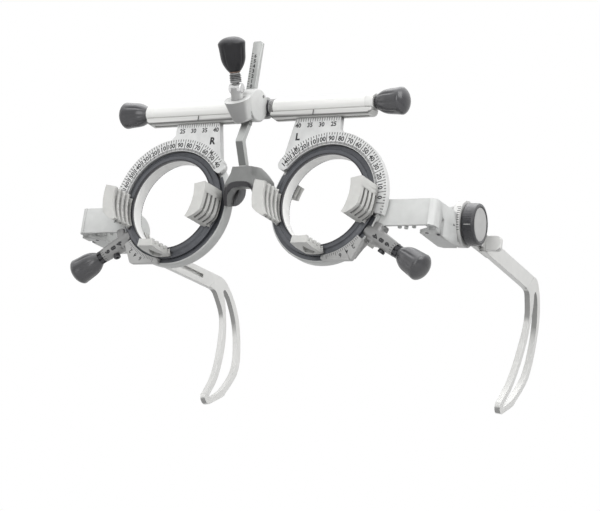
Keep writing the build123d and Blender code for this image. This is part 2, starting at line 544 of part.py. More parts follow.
def thumb_tab(side):
    """Tab on the temple's outer face for drawing it out by hand."""
    root = BAR_INNER + BAR_THICK
    tab = Pos((root + TAB_OUT) / 2, TAB_U, BAR_CENTRE_Z) * Box(TAB_OUT - root, TAB_DEPTH, TAB_HEIGHT)
    tab = fillet(tab.edges().filter_by(Axis.Y).group_by(Axis.X)[-1], 1.6)
    return toed(Pos(0, TEMPLE_REACH[side], 0) * tab)


# ---- hub and nose rest --------------------------------------------------------------
def spindle_plane(distance):
    """Plane across the spindle at this distance above the barrel nut."""
    up = (0, -sin(radians(SPINDLE_LEAN)), cos(radians(SPINDLE_LEAN)))
    origin = tuple(c + distance * d for c, d in zip((0, SPINDLE_Y, SPINDLE_Z), up))
    return Plane(origin=origin, x_dir=(1, 0, 0), z_dir=up)


def boss_plane(depth):
    """Plane across the hub's boss at this depth below its face, facing out."""
    out = (0, -sin(radians(BOSS_LEAN)), cos(radians(BOSS_LEAN)))
    return Plane(origin=(0, BOSS_Y - depth * out[1], BOSS_Z - depth * out[2]), x_dir=(1, 0, 0), z_dir=out)


def hub_core():
    """Dark journal that joins the two tubes through the hub."""
    core = along_x(-TUBE_START, TUBE_START, BAR_Y, BAR_Z, TUBE_R - 0.15)
    return core + along_x(-TUBE_START - 3.6, TUBE_START + 3.6, BAR_Y, BAR_Z, TUBE_BORE_R)


def hub_body():
    """Drum around the rod's swivel, nose cone under the spindle and clamp on the bar."""
    half = HUB_WIDTH / 2
    drum = along_x(-half, half, HUB_Y, HUB_Z, HUB_R)
    drum = chamfer(drum.edges().filter_by(GeomType.CIRCLE), 0.6)
    clamp = along_x(-3.4, 3.4, BAR_Y, BAR_Z, TUBE_R + 0.9)
    web = Pos(0, (HUB_Y + BAR_Y) / 2, BAR_Z - 0.6) * Box(6.8, BAR_Y - HUB_Y, 7.6)
    top, waist, foot = (boss_plane(d) for d in (0, 3.6, 8.4))
    cone = loft([top * Circle(BOSS_R), waist * Circle(BOSS_R - 0.6)])
    cone += loft([waist * Circle(BOSS_R - 0.6), foot * Circle(BOSS_R - 1.6)])
    body = drum + clamp + web + cone
    body -= along_x(-TUBE_START, TUBE_START, BAR_Y, BAR_Z, TUBE_R - 0.15)
    seat = SWIVEL_WIDTH / 2 + RUNNING
    body -= along_x(-seat, seat, HUB_Y, HUB_Z, SWIVEL_R + RUNNING)
    window = Pos(0, HUB_Y, HUB_Z) * Box(ROD_WIDTH + 2 * SEAT, ROD_THICK + 4.4, 2 * HUB_R + 2)
    body -= window
    body -= extrude(spindle_plane(-9) * Circle(SPINDLE_R + RUNNING), amount=12)
    return body


def nose_swivel():
    """Round block in the drum; the rod slides through it and tilts with it."""
    block = along_x(-SWIVEL_WIDTH / 2, SWIVEL_WIDTH / 2, HUB_Y, HUB_Z, SWIVEL_R)
    return block - Pos(0, HUB_Y, HUB_Z) * Box(ROD_WIDTH + 2 * RUNNING, ROD_THICK + 2 * RUNNING, 4 * SWIVEL_R)


def barrel_nut():
    nut = along_x(-BARREL_NUT_LENGTH / 2, BARREL_NUT_LENGTH / 2, SPINDLE_Y, SPINDLE_Z, BARREL_NUT_R)
    nut = chamfer(nut.edges().filter_by(GeomType.CIRCLE), 0.3)
    return nut - extrude(spindle_plane(-4) * Circle(SPINDLE_R + RUNNING), amount=8)


def spindle_bush():
    """Dark seat that carries the barrel nut on the hub's nose."""
    bush = extrude(spindle_plane(-4.4) * Circle(2.3), amount=4.8)
    bush -= along_x(-4, 4, SPINDLE_Y, SPINDLE_Z, BARREL_NUT_R)
    bush -= extrude(spindle_plane(-6) * Circle(SPINDLE_R + RUNNING), amount=9)
    return bush - hub_body()


def nose_spindle():
    """Threaded spindle with the plain sleeve under its knob."""
    spindle = extrude(spindle_plane(-7.6) * Circle(SPINDLE_R), amount=7.6 + NOSE_KNOB_ROOT + 6)
    neck = loft([spindle_plane(BARREL_NUT_R + 0.3) * Circle(2.1),
                 spindle_plane(NOSE_KNOB_ROOT - 0.1) * Circle(1.7)])
    return spindle + neck


def nose_knob():
    return spindle_plane(NOSE_KNOB_ROOT).location * knob()


def nose_rod():
    """Flat rod through the swivel, with the cranked stem down to the saddle."""
    half = ROD_THICK / 2
    face = make_face(Polyline(
        (HUB_Y - half, ROD_TOP), (HUB_Y + half, ROD_TOP), (HUB_Y + half, 27.4), (-8.2, 20.7),
        (-3.6, 12.8), (-3.6, 10.2), (-5.6, 10.2), (-5.6, 12.2), (-10.4, 20.2), (HUB_Y - half, 27.6),
        close=True))
    body = extrude(side_view(-ROD_WIDTH / 2) * face, amount=ROD_WIDTH)
    body = fillet(body.edges().filter_by(Axis.X).filter_by(lambda e: 15 < e.center().Z < 24), 1.6)
    body -= Pos(0, HUB_Y, 14) * (Box(3 * ROD_WIDTH, 20, 27) - Box(STEM_WIDTH, 20, 27))
    return fillet(body.edges().filter_by(Axis.Y).group_by(Axis.Z)[-1], 0.6)


def saddle_outer(y, *half):
    """Front outline of the saddle at one depth, from the points of its right half."""
    return facing(y) * outline(*half, *[(-x, z) for x, z in reversed(half)])


def saddle_arch(y, *half):
    """Front view of the opening for the nose at one depth: a smooth arch and a straight base."""
    arch = [(-x, z) for x, z in reversed(half)] + list(half)
    return facing(y) * make_face([Spline(*arch), Line(arch[-1], arch[0])])


def saddle_hollow(inset=0.0):
    """Opening for the nose: a flared lip, a level crown, then a hollow that rises behind."""
    crown = NOSE_REST_Z
    foot = SADDLE_HALF - SADDLE_WALL - inset
    lip = [(1.5, crown + 1.8), (4.6, crown + 0.9), (6.4, 2.6), (7.5, -1.0), (7.6, -6.0)]
    front = [(1.5, crown), (3.9, crown - 0.6), (5.2, 1.8), (6.3, -1.0), (6.5, -6.0)]
    waist = [(1.5, crown), (3.9, crown - 0.6), (5.2, 1.8), (6.0, -1.0), (6.3, -6.0)]
    flare = [(1.5, 9.0), (4.4, 8.0), (foot - 0.6, 5.6), (foot, -1.0), (foot, -6.0)]
    rear = [(1.5, 10.4), (4.4, 9.4), (foot - 0.4, 7.0), (foot, -1.0), (foot, -6.0)]
    return loft([saddle_arch(SADDLE_FRONT - 0.4, *lip), saddle_arch(SADDLE_FRONT + 1.8, *front),
                 saddle_arch(WAIST_Y, *waist), saddle_arch(FLARE_Y, *flare),
                 saddle_arch(SADDLE_BACK + 2, *rear)], ruled=True)


def saddle_side():
    """Side view that trims the saddle: an upright front, legs swept back to a round tip."""
    edges = [Line((SADDLE_FRONT, SADDLE_TOP), (0.6, SADDLE_TOP + 2.1)),
             ThreePointArc((0.6, SADDLE_TOP + 2.1), (SADDLE_BACK - 1.6, SADDLE_TOP + 1.2),
                           (SADDLE_BACK, 8.2)),
             Spline((SADDLE_BACK, 8.2), (5.6, 2.6), (2.6, -0.6), (-0.6, -2.0)),
             ThreePointArc((-0.6, -2.0), (-2.0, -2.0), (-2.8, -0.9)),
             Spline((-2.8, -0.9), (-4.0, 0.7), (-5.4, 3.2), (SADDLE_FRONT, 5.4)),
             Line((SADDLE_FRONT, 5.4), (SADDLE_FRONT, SADDLE_TOP))]
    return make_face(edges)


def saddle():
    """Arched nose saddle: an upright crown, a waist and a flared rim behind."""
    half = SADDLE_HALF
    top = SADDLE_TOP
    rim = [(4.0, top), (4.7, 9.3), (6.7, 4.9), (half + 0.2, 0.6), (half + 0.4, -5.0)]
    waist = [(3.6, top + 1.2), (4.1, 9.3), (5.7, 4.9), (7.4, 0.6), (7.6, -5.0)]
    flare = [(3.0, top + 2.2), (half - 1.3, 9.2), (half, 4.9), (half, 0.6), (half - 0.1, -5.0)]
    body = loft([saddle_outer(SADDLE_FRONT - 0.5, *rim), saddle_outer(WAIST_Y, *waist),
                 saddle_outer(FLARE_Y, *flare), saddle_outer(SADDLE_BACK + 1, *flare)])
    body &= extrude(side_view(-20) * saddle_side(), amount=40)
    slot = Pos(0, -4.6, SADDLE_TOP) * Box(STEM_WIDTH, ROD_THICK, 3.0)
    return body - saddle_hollow() - slot


def nose_pads():
    """Two soft pads that line the inside of the flared legs."""
    pads = saddle_hollow(0.02) - saddle_hollow(PAD_WALL)
    pads &= Pos(0, (FLARE_Y + SADDLE_BACK) / 2 - 0.6, 2.5) * Box(40, SADDLE_BACK - FLARE_Y + 1.2, 9.0)
    return pads & extrude(side_view(-20) * saddle_side(), amount=40)


# ---- assembly -----------------------------------------------------------------------
def both(shape, name):
    """Save the wearer's left part and its mirror image for the right."""
    save(shape, f"{name}_left")
    save(mirror(shape, Plane.YZ), f"{name}_right")


def main():
    os.makedirs("parts", exist_ok=True)
    both(bar_tube(), "bar_tube")
    both(rail(), "slide_rail")
    both(end_cap(), "end_cap")
    both(lead_screw(), "pd_screw")
    both(pd_knob(), "pd_knob")
    both(carrier_nut(), "carrier_nut")
    both(scale_plate(), "scale_plate")
    both(cell_housing(), "cell_housing")
    both(gear_housing(), "gear_housing")
    both(vernier_block(), "vernier_block")
    both(rear_clips(), "rear_clips")
    both(bracket_seated(), "temple_bracket")
    both(cell_ring(), "cell_ring")
    both(cell_liner(), "cell_liner")
    both(comb(1), "comb_temple")
    both(comb(-1), "comb_nose")
    both(bottom_clip(), "bottom_clip")
    both(axis_shaft(), "axis_shaft")
    both(axis_knob(), "axis_knob")
    both(temple_holder(), "temple_holder")
    both(side_wheel(), "side_wheel")
    both(pivot_screw(), "pivot_screw")
    for side in ("left", "right"):
        flip = (lambda s: s) if side == "left" else (lambda s: mirror(s, Plane.YZ))
        save(flip(temple(side)), f"temple_{side}")
        save(flip(thumb_tab(side)), f"thumb_tab_{side}")
    save(hub_core(), "hub_core")
    save(hub_body(), "hub_body")
    save(nose_swivel(), "nose_swivel")
    save(barrel_nut(), "barrel_nut")
    save(spindle_bush(), "spindle_bush")
    save(nose_spindle(), "nose_spindle")
    save(nose_knob(), "nose_knob")
    save(nose_rod(), "nose_rod")
    save(saddle(), "nose_saddle")
    save(nose_pads(), "nose_pads")


if __name__ == "__main__":
    main()
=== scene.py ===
"""Looks of an optician's adjustable trial lens frame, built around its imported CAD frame.

Lengths inside the classes are millimetres about the optical datum, which is midway between
the two lens centres in the plane of the scale plates' front faces. spot() turns them into
metres in the row frame, so every piece lands where the CAD nodes are.
"""

import json
import logging
import math
from dataclasses import dataclass, replace
from enum import Enum
from typing import Callable, Dict, Optional, Sequence, Tuple, Union

import bmesh
import bpy
from mathutils import Matrix, Vector

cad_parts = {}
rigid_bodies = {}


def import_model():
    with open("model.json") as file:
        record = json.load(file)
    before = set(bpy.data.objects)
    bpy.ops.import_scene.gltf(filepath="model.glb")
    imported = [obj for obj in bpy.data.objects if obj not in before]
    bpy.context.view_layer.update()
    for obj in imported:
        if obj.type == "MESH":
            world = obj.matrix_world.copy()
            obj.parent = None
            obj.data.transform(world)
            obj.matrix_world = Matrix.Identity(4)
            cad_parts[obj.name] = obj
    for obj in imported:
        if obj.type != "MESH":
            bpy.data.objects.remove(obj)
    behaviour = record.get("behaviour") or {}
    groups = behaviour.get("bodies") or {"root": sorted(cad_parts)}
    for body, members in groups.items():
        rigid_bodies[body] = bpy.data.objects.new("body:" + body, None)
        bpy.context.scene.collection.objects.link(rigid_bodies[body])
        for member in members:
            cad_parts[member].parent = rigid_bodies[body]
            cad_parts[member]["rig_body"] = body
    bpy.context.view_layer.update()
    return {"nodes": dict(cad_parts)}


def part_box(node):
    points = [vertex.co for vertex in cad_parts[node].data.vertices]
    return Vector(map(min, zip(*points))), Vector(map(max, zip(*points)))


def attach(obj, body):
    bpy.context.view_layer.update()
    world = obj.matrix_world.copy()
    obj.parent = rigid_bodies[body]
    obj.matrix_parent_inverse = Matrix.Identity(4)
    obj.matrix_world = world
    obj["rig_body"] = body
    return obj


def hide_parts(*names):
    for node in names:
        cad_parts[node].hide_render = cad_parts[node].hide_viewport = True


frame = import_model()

log = logging.getLogger("trial_frame")

MM = 0.001
UP = Vector((0, 0, 1))
FRONT = Vector((0, -1, 0))
WELD = 1e-4
Triple = Tuple[float, float, float]
Colour = Triple
Outline = Sequence[Tuple[float, float]]
Input = Union["Wire", float, int, Sequence[float]]


# ---- places ---------------------------------------------------------------------------
class Side(Enum):
    """The wearer's side that a doubled sub-assembly sits on."""

    LEFT = 1
    RIGHT = -1

    @property
    def label(self) -> str:
        """Ending of this side's node and body names."""
        return self.name.lower()

    @property
    def outwards(self) -> Vector:
        """Direction from the object's middle to this side."""
        return Vector((self.value, 0, 0))

    def mirrored(self, angle: float) -> float:
        """Angle on this side's cell, in degrees, from the angle on the left one."""
        return angle if self is Side.LEFT else 180 - angle


def middle(node: str) -> Vector:
    """Centre of a CAD node's box, in metres."""
    low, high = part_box(node)
    return (low + high) / 2


DATUM = Vector((0.0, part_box("scale_plate_left")[0].y, middle("cell_liner_left").z))
HALF_PD = (middle("cell_liner_left").x - middle("cell_liner_right").x) / 2 / MM


def spot(x: float, y: float, z: float) -> Vector:
    """Row-frame point, in metres, of millimetres about the optical datum."""
    return DATUM + Vector((x, y, z)) * MM


def placement(origin: Vector, out: Vector, up: Vector) -> Matrix:
    """Matrix that sets a shape drawn in millimetres into the row frame.

    Args:
        origin: where the shape's own origin goes, in metres.
        out: direction of the shape's +Z.
        up: direction nearest to the shape's +Y.

    Returns:
        A right-handed placement with the millimetre scale in it.
    """
    z = out.normalized()
    x = up.cross(z).normalized()
    y = z.cross(x)
    turn = Matrix((x, y, z)).transposed().to_4x4()
    return Matrix.Translation(origin) @ turn @ Matrix.Scale(MM, 4)


def ring_point(angle: float, radius: float) -> Tuple[float, float]:
    """Point at this angle, in degrees, and radius in a cell's own plane."""
    return radius * math.cos(math.radians(angle)), radius * math.sin(math.radians(angle))


@dataclass(frozen=True)
class SidePlane:
    """The toed-in vertical plane that the temple and its wheel turn in."""

    side: Side
    corner_x: float = 77.0
    corner_y: float = 4.0
    toe_in: float = 5.2
    pivot_u: float = 29.5
    pivot_z: float = 0.3

    @property
    def out(self) -> Vector:
        """Direction away from the head."""
        toe = math.radians(self.toe_in)
        return Vector((self.side.value * math.cos(toe), math.sin(toe), 0.0))

    @property
    def back(self) -> Vector:
        """Direction towards the ear."""
        toe = math.radians(self.toe_in)
        return Vector((-self.side.value * math.sin(toe), math.cos(toe), 0.0))

    def point(self, off: float, u: float, z: float) -> Vector:
        """Row-frame point at a distance outwards, backwards and up from the bracket's corner."""
        corner = spot(self.side.value * self.corner_x, self.corner_y, z)
        return corner + (self.out * off + self.back * u) * MM


# ---- shading --------------------------------------------------------------------------
class Wire:
    """An output socket whose arithmetic adds Math nodes to its own tree."""

    def __init__(self, shade: "Shade", node: bpy.types.Node, socket: Union[int, str] = 0) -> None:
        """Keep the node and one of its outputs; an output node has none."""
        self.shade, self.made = shade, node
        self.socket = node.outputs[socket] if node.outputs else None

    def of(self, socket: Union[int, str]) -> "Wire":
        """Another output of the same node."""
        return Wire(self.shade, self.made, socket)

    def math(self, operation: str, *values: Input, clamp: bool = False) -> "Wire":
        """Result of a Math node over this value and others."""
        return self.shade.node("ShaderNodeMath", dict(enumerate((self, *values))),
                               operation=operation, use_clamp=clamp)

    def __add__(self, other: Input) -> "Wire":
        """This value plus another."""
        return self.math("ADD", other)

    def __sub__(self, other: Input) -> "Wire":
        """This value less another."""
        return self.math("SUBTRACT", other)

    def __rsub__(self, other: Input) -> "Wire":
        """Another value less this one."""
        return self.shade.node("ShaderNodeMath", {0: other, 1: self}, operation="SUBTRACT")

    def __mul__(self, other: Input) -> "Wire":
        """This value times another."""
        return self.math("MULTIPLY", other)

    def __pow__(self, other: Input) -> "Wire":
        """This value to a power."""
        return self.math("POWER", other)

    __radd__ = __add__
    __rmul__ = __mul__

    def clamped(self) -> "Wire":
        """This value held between 0 and 1."""
        return self.math("ADD", 0.0, clamp=True)

    def between(self, low: float, high: float) -> "Wire":
        """This value stretched so that low becomes 0 and high becomes 1, and held there."""
        return self.shade.node("ShaderNodeMapRange", {0: self, 1: low, 2: high, 3: 0.0, 4: 1.0},
                               clamp=True)


class Shade:
    """A node tree that is filled through one method."""

    def __init__(self, tree: bpy.types.NodeTree) -> None:
        """Start with the tree empty."""
        self.tree = tree
        self.tree.nodes.clear()

    def node(self, kind: str, inputs: Optional[Dict[Union[int, str], Input]] = None,
             out: Union[int, str] = 0, **settings: object) -> Wire:
        """Add a node.

        Args:
            kind: the node's type.
            inputs: socket values, or wires to link, by socket name or number.
            out: the output that the wire returned stands for.
            **settings: the node's own settings, which are set first.

        Returns:
            A wire from the chosen output.
        """
        node = self.tree.nodes.new(kind)
        for key, value in settings.items():
            setattr(node, key, value)
        for key, value in (inputs or {}).items():
            socket = node.inputs[key]
            if isinstance(value, Wire):
                self.tree.links.new(value.socket, socket)
            elif socket.type == "RGBA" and len(value) == 3:
                socket.default_value = (*value, 1.0)
            else:
                socket.default_value = value
        return Wire(self, node, out)

    def blend(self, factor: Input, low: Input, high: Input) -> Wire:
        """Colour between low and high."""
        return self.node("ShaderNodeMix", {0: factor, 6: low, 7: high}, out=2, data_type="RGBA")

    def scaled(self, vector: Wire, scale: Sequence[float]) -> Wire:
        """A vector with each of its parts multiplied."""
        return self.node("ShaderNodeVectorMath", {0: vector, 1: tuple(scale)}, operation="MULTIPLY")

    def noise(self, vector: Wire, scale: float, detail: float = 3.0, roughness: float = 0.5) -> Wire:
        """Noise from 0 to 1, with this many grains to a millimetre."""
        return self.node("ShaderNodeTexNoise", {"Vector": vector, "Scale": scale, "Detail": detail,
                                                "Roughness": roughness})

    def seen(self) -> Wire:
        """1 for camera, glossy and transmission rays, and 0 for the rays that light the object."""
        path = self.node("ShaderNodeLightPath")
        return (path.of("Is Camera Ray") + path.of("Is Glossy Ray")
                + path.of("Is Transmission Ray")).clamped()


class Grain(Enum):
    """How a surface was made, which sets the direction and kind of its texture."""

    CAST = "even fine grain of painted die casting"
    MOULDED = "spark-eroded stipple of moulded plastic"
    BRUSHED = "fine lines along X"
    TURNED = "fine circles about a centre, along Y"
    POLISHED = "few faint scratches"


# Spans of noise, of edge, corner and facing that the masks stretch from 0 to 1.
SLOW_SPAN = (0.3, 0.7)
GRAIN_SPAN = (0.25, 0.75)
EDGE_SPAN = (0.015, 0.22)
CORNER_SPAN = (0.18, 0.85)
# Facing over which the painted shade on faces that look forwards and down comes in.
DOWNWARD_SHADE_SPAN = (0.16, 0.34)
# Upward facing over which the painted top highlight comes in.
TOP_HIGHLIGHT_SPAN = (0.0, 0.75)
# Darkness of the painted corner shade, as a share of the finish's own colour.
CORNER_SHADE_DARKNESS = 0.22


@dataclass(frozen=True)
class Finish:
    """One surface finish: its colour, gloss, texture and edge wear, with painted shade in its corners and on
    faces that look down, and a painted highlight on faces that look up.

    grain_mm is the size of the texture's grains, relief its depth and edge the radius that
    broken edges show, in millimetres. centre is the middle of a turned face in the row frame.
    reach is how far from a corner the painted corner shade spreads, in millimetres. The colour for the faces
    that look forwards and down paints shade on them. The amount for the faces that look up is a painted
    highlight in the worn colour, and specular is the strength of the surface's reflection.
    """

    name: str
    colour: Colour
    roughness: float = 0.45
    metallic: float = 0.0
    grain: Grain = Grain.CAST
    grain_mm: float = 0.22
    relief: float = 0.004
    mottle: float = 0.07
    edge: float = 0.16
    worn: Colour = (0.75, 0.75, 0.74)
    wear: float = 0.35
    grime: float = 0.45
    reach: float = 1.6
    coat: float = 0.0
    centre: Triple = (0.0, 0.0, 0.0)
    lip: Optional[Colour] = None
    dust: float = 0.0
    specular: float = 0.5

    def _texture(self, shade: Shade, millimetres: Wire) -> Tuple[Wire, Wire]:
        """The grain's height and its slow variation, both from 0 to 1.

        Args:
            shade: the finish's tree.
            millimetres: the place on the surface, in millimetres.

        Returns:
            The height and the slow variation.
        """
        fine = 1.0 / self.grain_mm
        if self.grain is Grain.BRUSHED:
            lines = shade.scaled(millimetres, (0.06, 1.0, 1.0))
            return shade.noise(lines, fine, 4.0, 0.6), shade.noise(lines, fine * 0.12, 2.0)
        if self.grain is Grain.TURNED:
            parts = shade.node("ShaderNodeSeparateXYZ", {0: millimetres})
            x, y, z = parts, parts.of(1), parts.of(2)
            radius = (x * x + z * z) ** 0.5
            circles = shade.node("ShaderNodeCombineXYZ", {0: radius, 1: y, 2: 0.0})
            return shade.noise(circles, fine, 4.0, 0.6), shade.noise(millimetres, 0.35, 3.0)
        if self.grain is Grain.MOULDED:
            cells = shade.node("ShaderNodeTexVoronoi", {"Vector": millimetres, "Scale": fine},
                               feature="SMOOTH_F1")
            height = cells * 0.7 + shade.noise(millimetres, fine * 2.1) * 0.3
            return height, shade.noise(millimetres, 0.3, 3.0)
        if self.grain is Grain.POLISHED:
            long = shade.scaled(millimetres, (0.3, 1.0, 1.0))
            return shade.noise(long, fine, 2.0), shade.noise(millimetres, 0.5, 2.0)
        return shade.noise(millimetres, fine, 4.0, 0.55), shade.noise(millimetres, 0.25, 3.0)

    def material(self) -> bpy.types.Material:
        """The finish as a material, made once.

        Returns:
            The material, which later pieces of the finish share.
        """
        known = bpy.data.materials.get(self.name)
        if known:
            return known
        made = bpy.data.materials.new(self.name)
        made.use_nodes = True
        shade = Shade(made.node_tree)
        place = shade.node("ShaderNodeTexCoord", out="Object")
        centred = shade.node("ShaderNodeMapping", {"Vector": place,
                                                   "Location": tuple(-c for c in self.centre)})
        millimetres = shade.scaled(centred, (1000.0,) * 3)
        height, slow = self._texture(shade, millimetres)

        rounded = shade.node("ShaderNodeBevel", {"Radius": self.edge * MM}, samples=4)
        flat = shade.node("ShaderNodeNewGeometry", out="Normal")
        agree = shade.node("ShaderNodeVectorMath", {0: rounded, 1: flat}, out="Value",
                           operation="DOT_PRODUCT")
        edges = (1.0 - agree).between(*EDGE_SPAN) * slow.between(*SLOW_SPAN)
        # Painted shade: ambient occlusion darkens corners, creases and recesses, where shade falls.
        corners = shade.node("ShaderNodeAmbientOcclusion", {"Distance": self.reach * MM}, out="AO",
                             samples=6)
        corner_shade_mask = (1.0 - corners).between(*CORNER_SPAN) * (slow * 0.5 + 0.75)

        light = tuple(min(1.0, c * (1 + self.mottle)) for c in self.colour)
        dark = tuple(c * (1 - self.mottle) for c in self.colour)
        base = shade.blend(slow.between(*SLOW_SPAN), dark, light)
        base = shade.blend(height.between(*GRAIN_SPAN) * (self.mottle * 2.2), base, light)
        # Painted shade: faces that look forwards and down take a darker colour.
        if self.lip:
            faces = shade.node("ShaderNodeSeparateXYZ", {0: rounded})
            faces_down_mask = (0.0 - faces.of(2)).between(*DOWNWARD_SHADE_SPAN) * (0.0 - faces.of(1)).between(*DOWNWARD_SHADE_SPAN)
            base = shade.blend(faces_down_mask, base, self.lip)
        # Painted highlight: faces that look up are lightened towards the worn colour.
        if self.dust:
            upward = shade.node("ShaderNodeSeparateXYZ", {0: rounded}, out=2).between(*TOP_HIGHLIGHT_SPAN)
            base = shade.blend(upward * (slow * 0.4 + 0.8) * self.dust, base, self.worn)
        base = shade.blend((edges * self.wear).clamped(), base, self.worn)
        # The painted corner shade mixes a dark tone of the colour in where the occlusion is deep.
        corner_shade_tone = tuple(c * CORNER_SHADE_DARKNESS for c in self.colour)
        base = shade.blend((corner_shade_mask * self.grime).clamped(), base, corner_shade_tone)
        gloss = ((height - 0.5) * 0.10 + (slow - 0.5) * 0.10 + corner_shade_mask * 0.15 - edges * (0.12 * self.wear)
                 + self.roughness).clamped()
        bump = shade.node("ShaderNodeBump", {"Strength": 0.8, "Distance": self.relief * MM,
                                             "Height": height, "Normal": rounded})
        surface = shade.node("ShaderNodeBsdfPrincipled", {
            "Base Color": base, "Metallic": self.metallic, "Roughness": gloss, "Normal": bump,
            "Coat Weight": self.coat, "Coat Roughness": 0.25, "Specular IOR Level": self.specular})
        shade.node("ShaderNodeOutputMaterial", {"Surface": surface})
        return made

    def about(self, node: str) -> "Finish":
        """The same finish, turned about the centre of a CAD node."""
        return replace(self, name=f"{self.name}_{node}", centre=tuple(middle(node)))


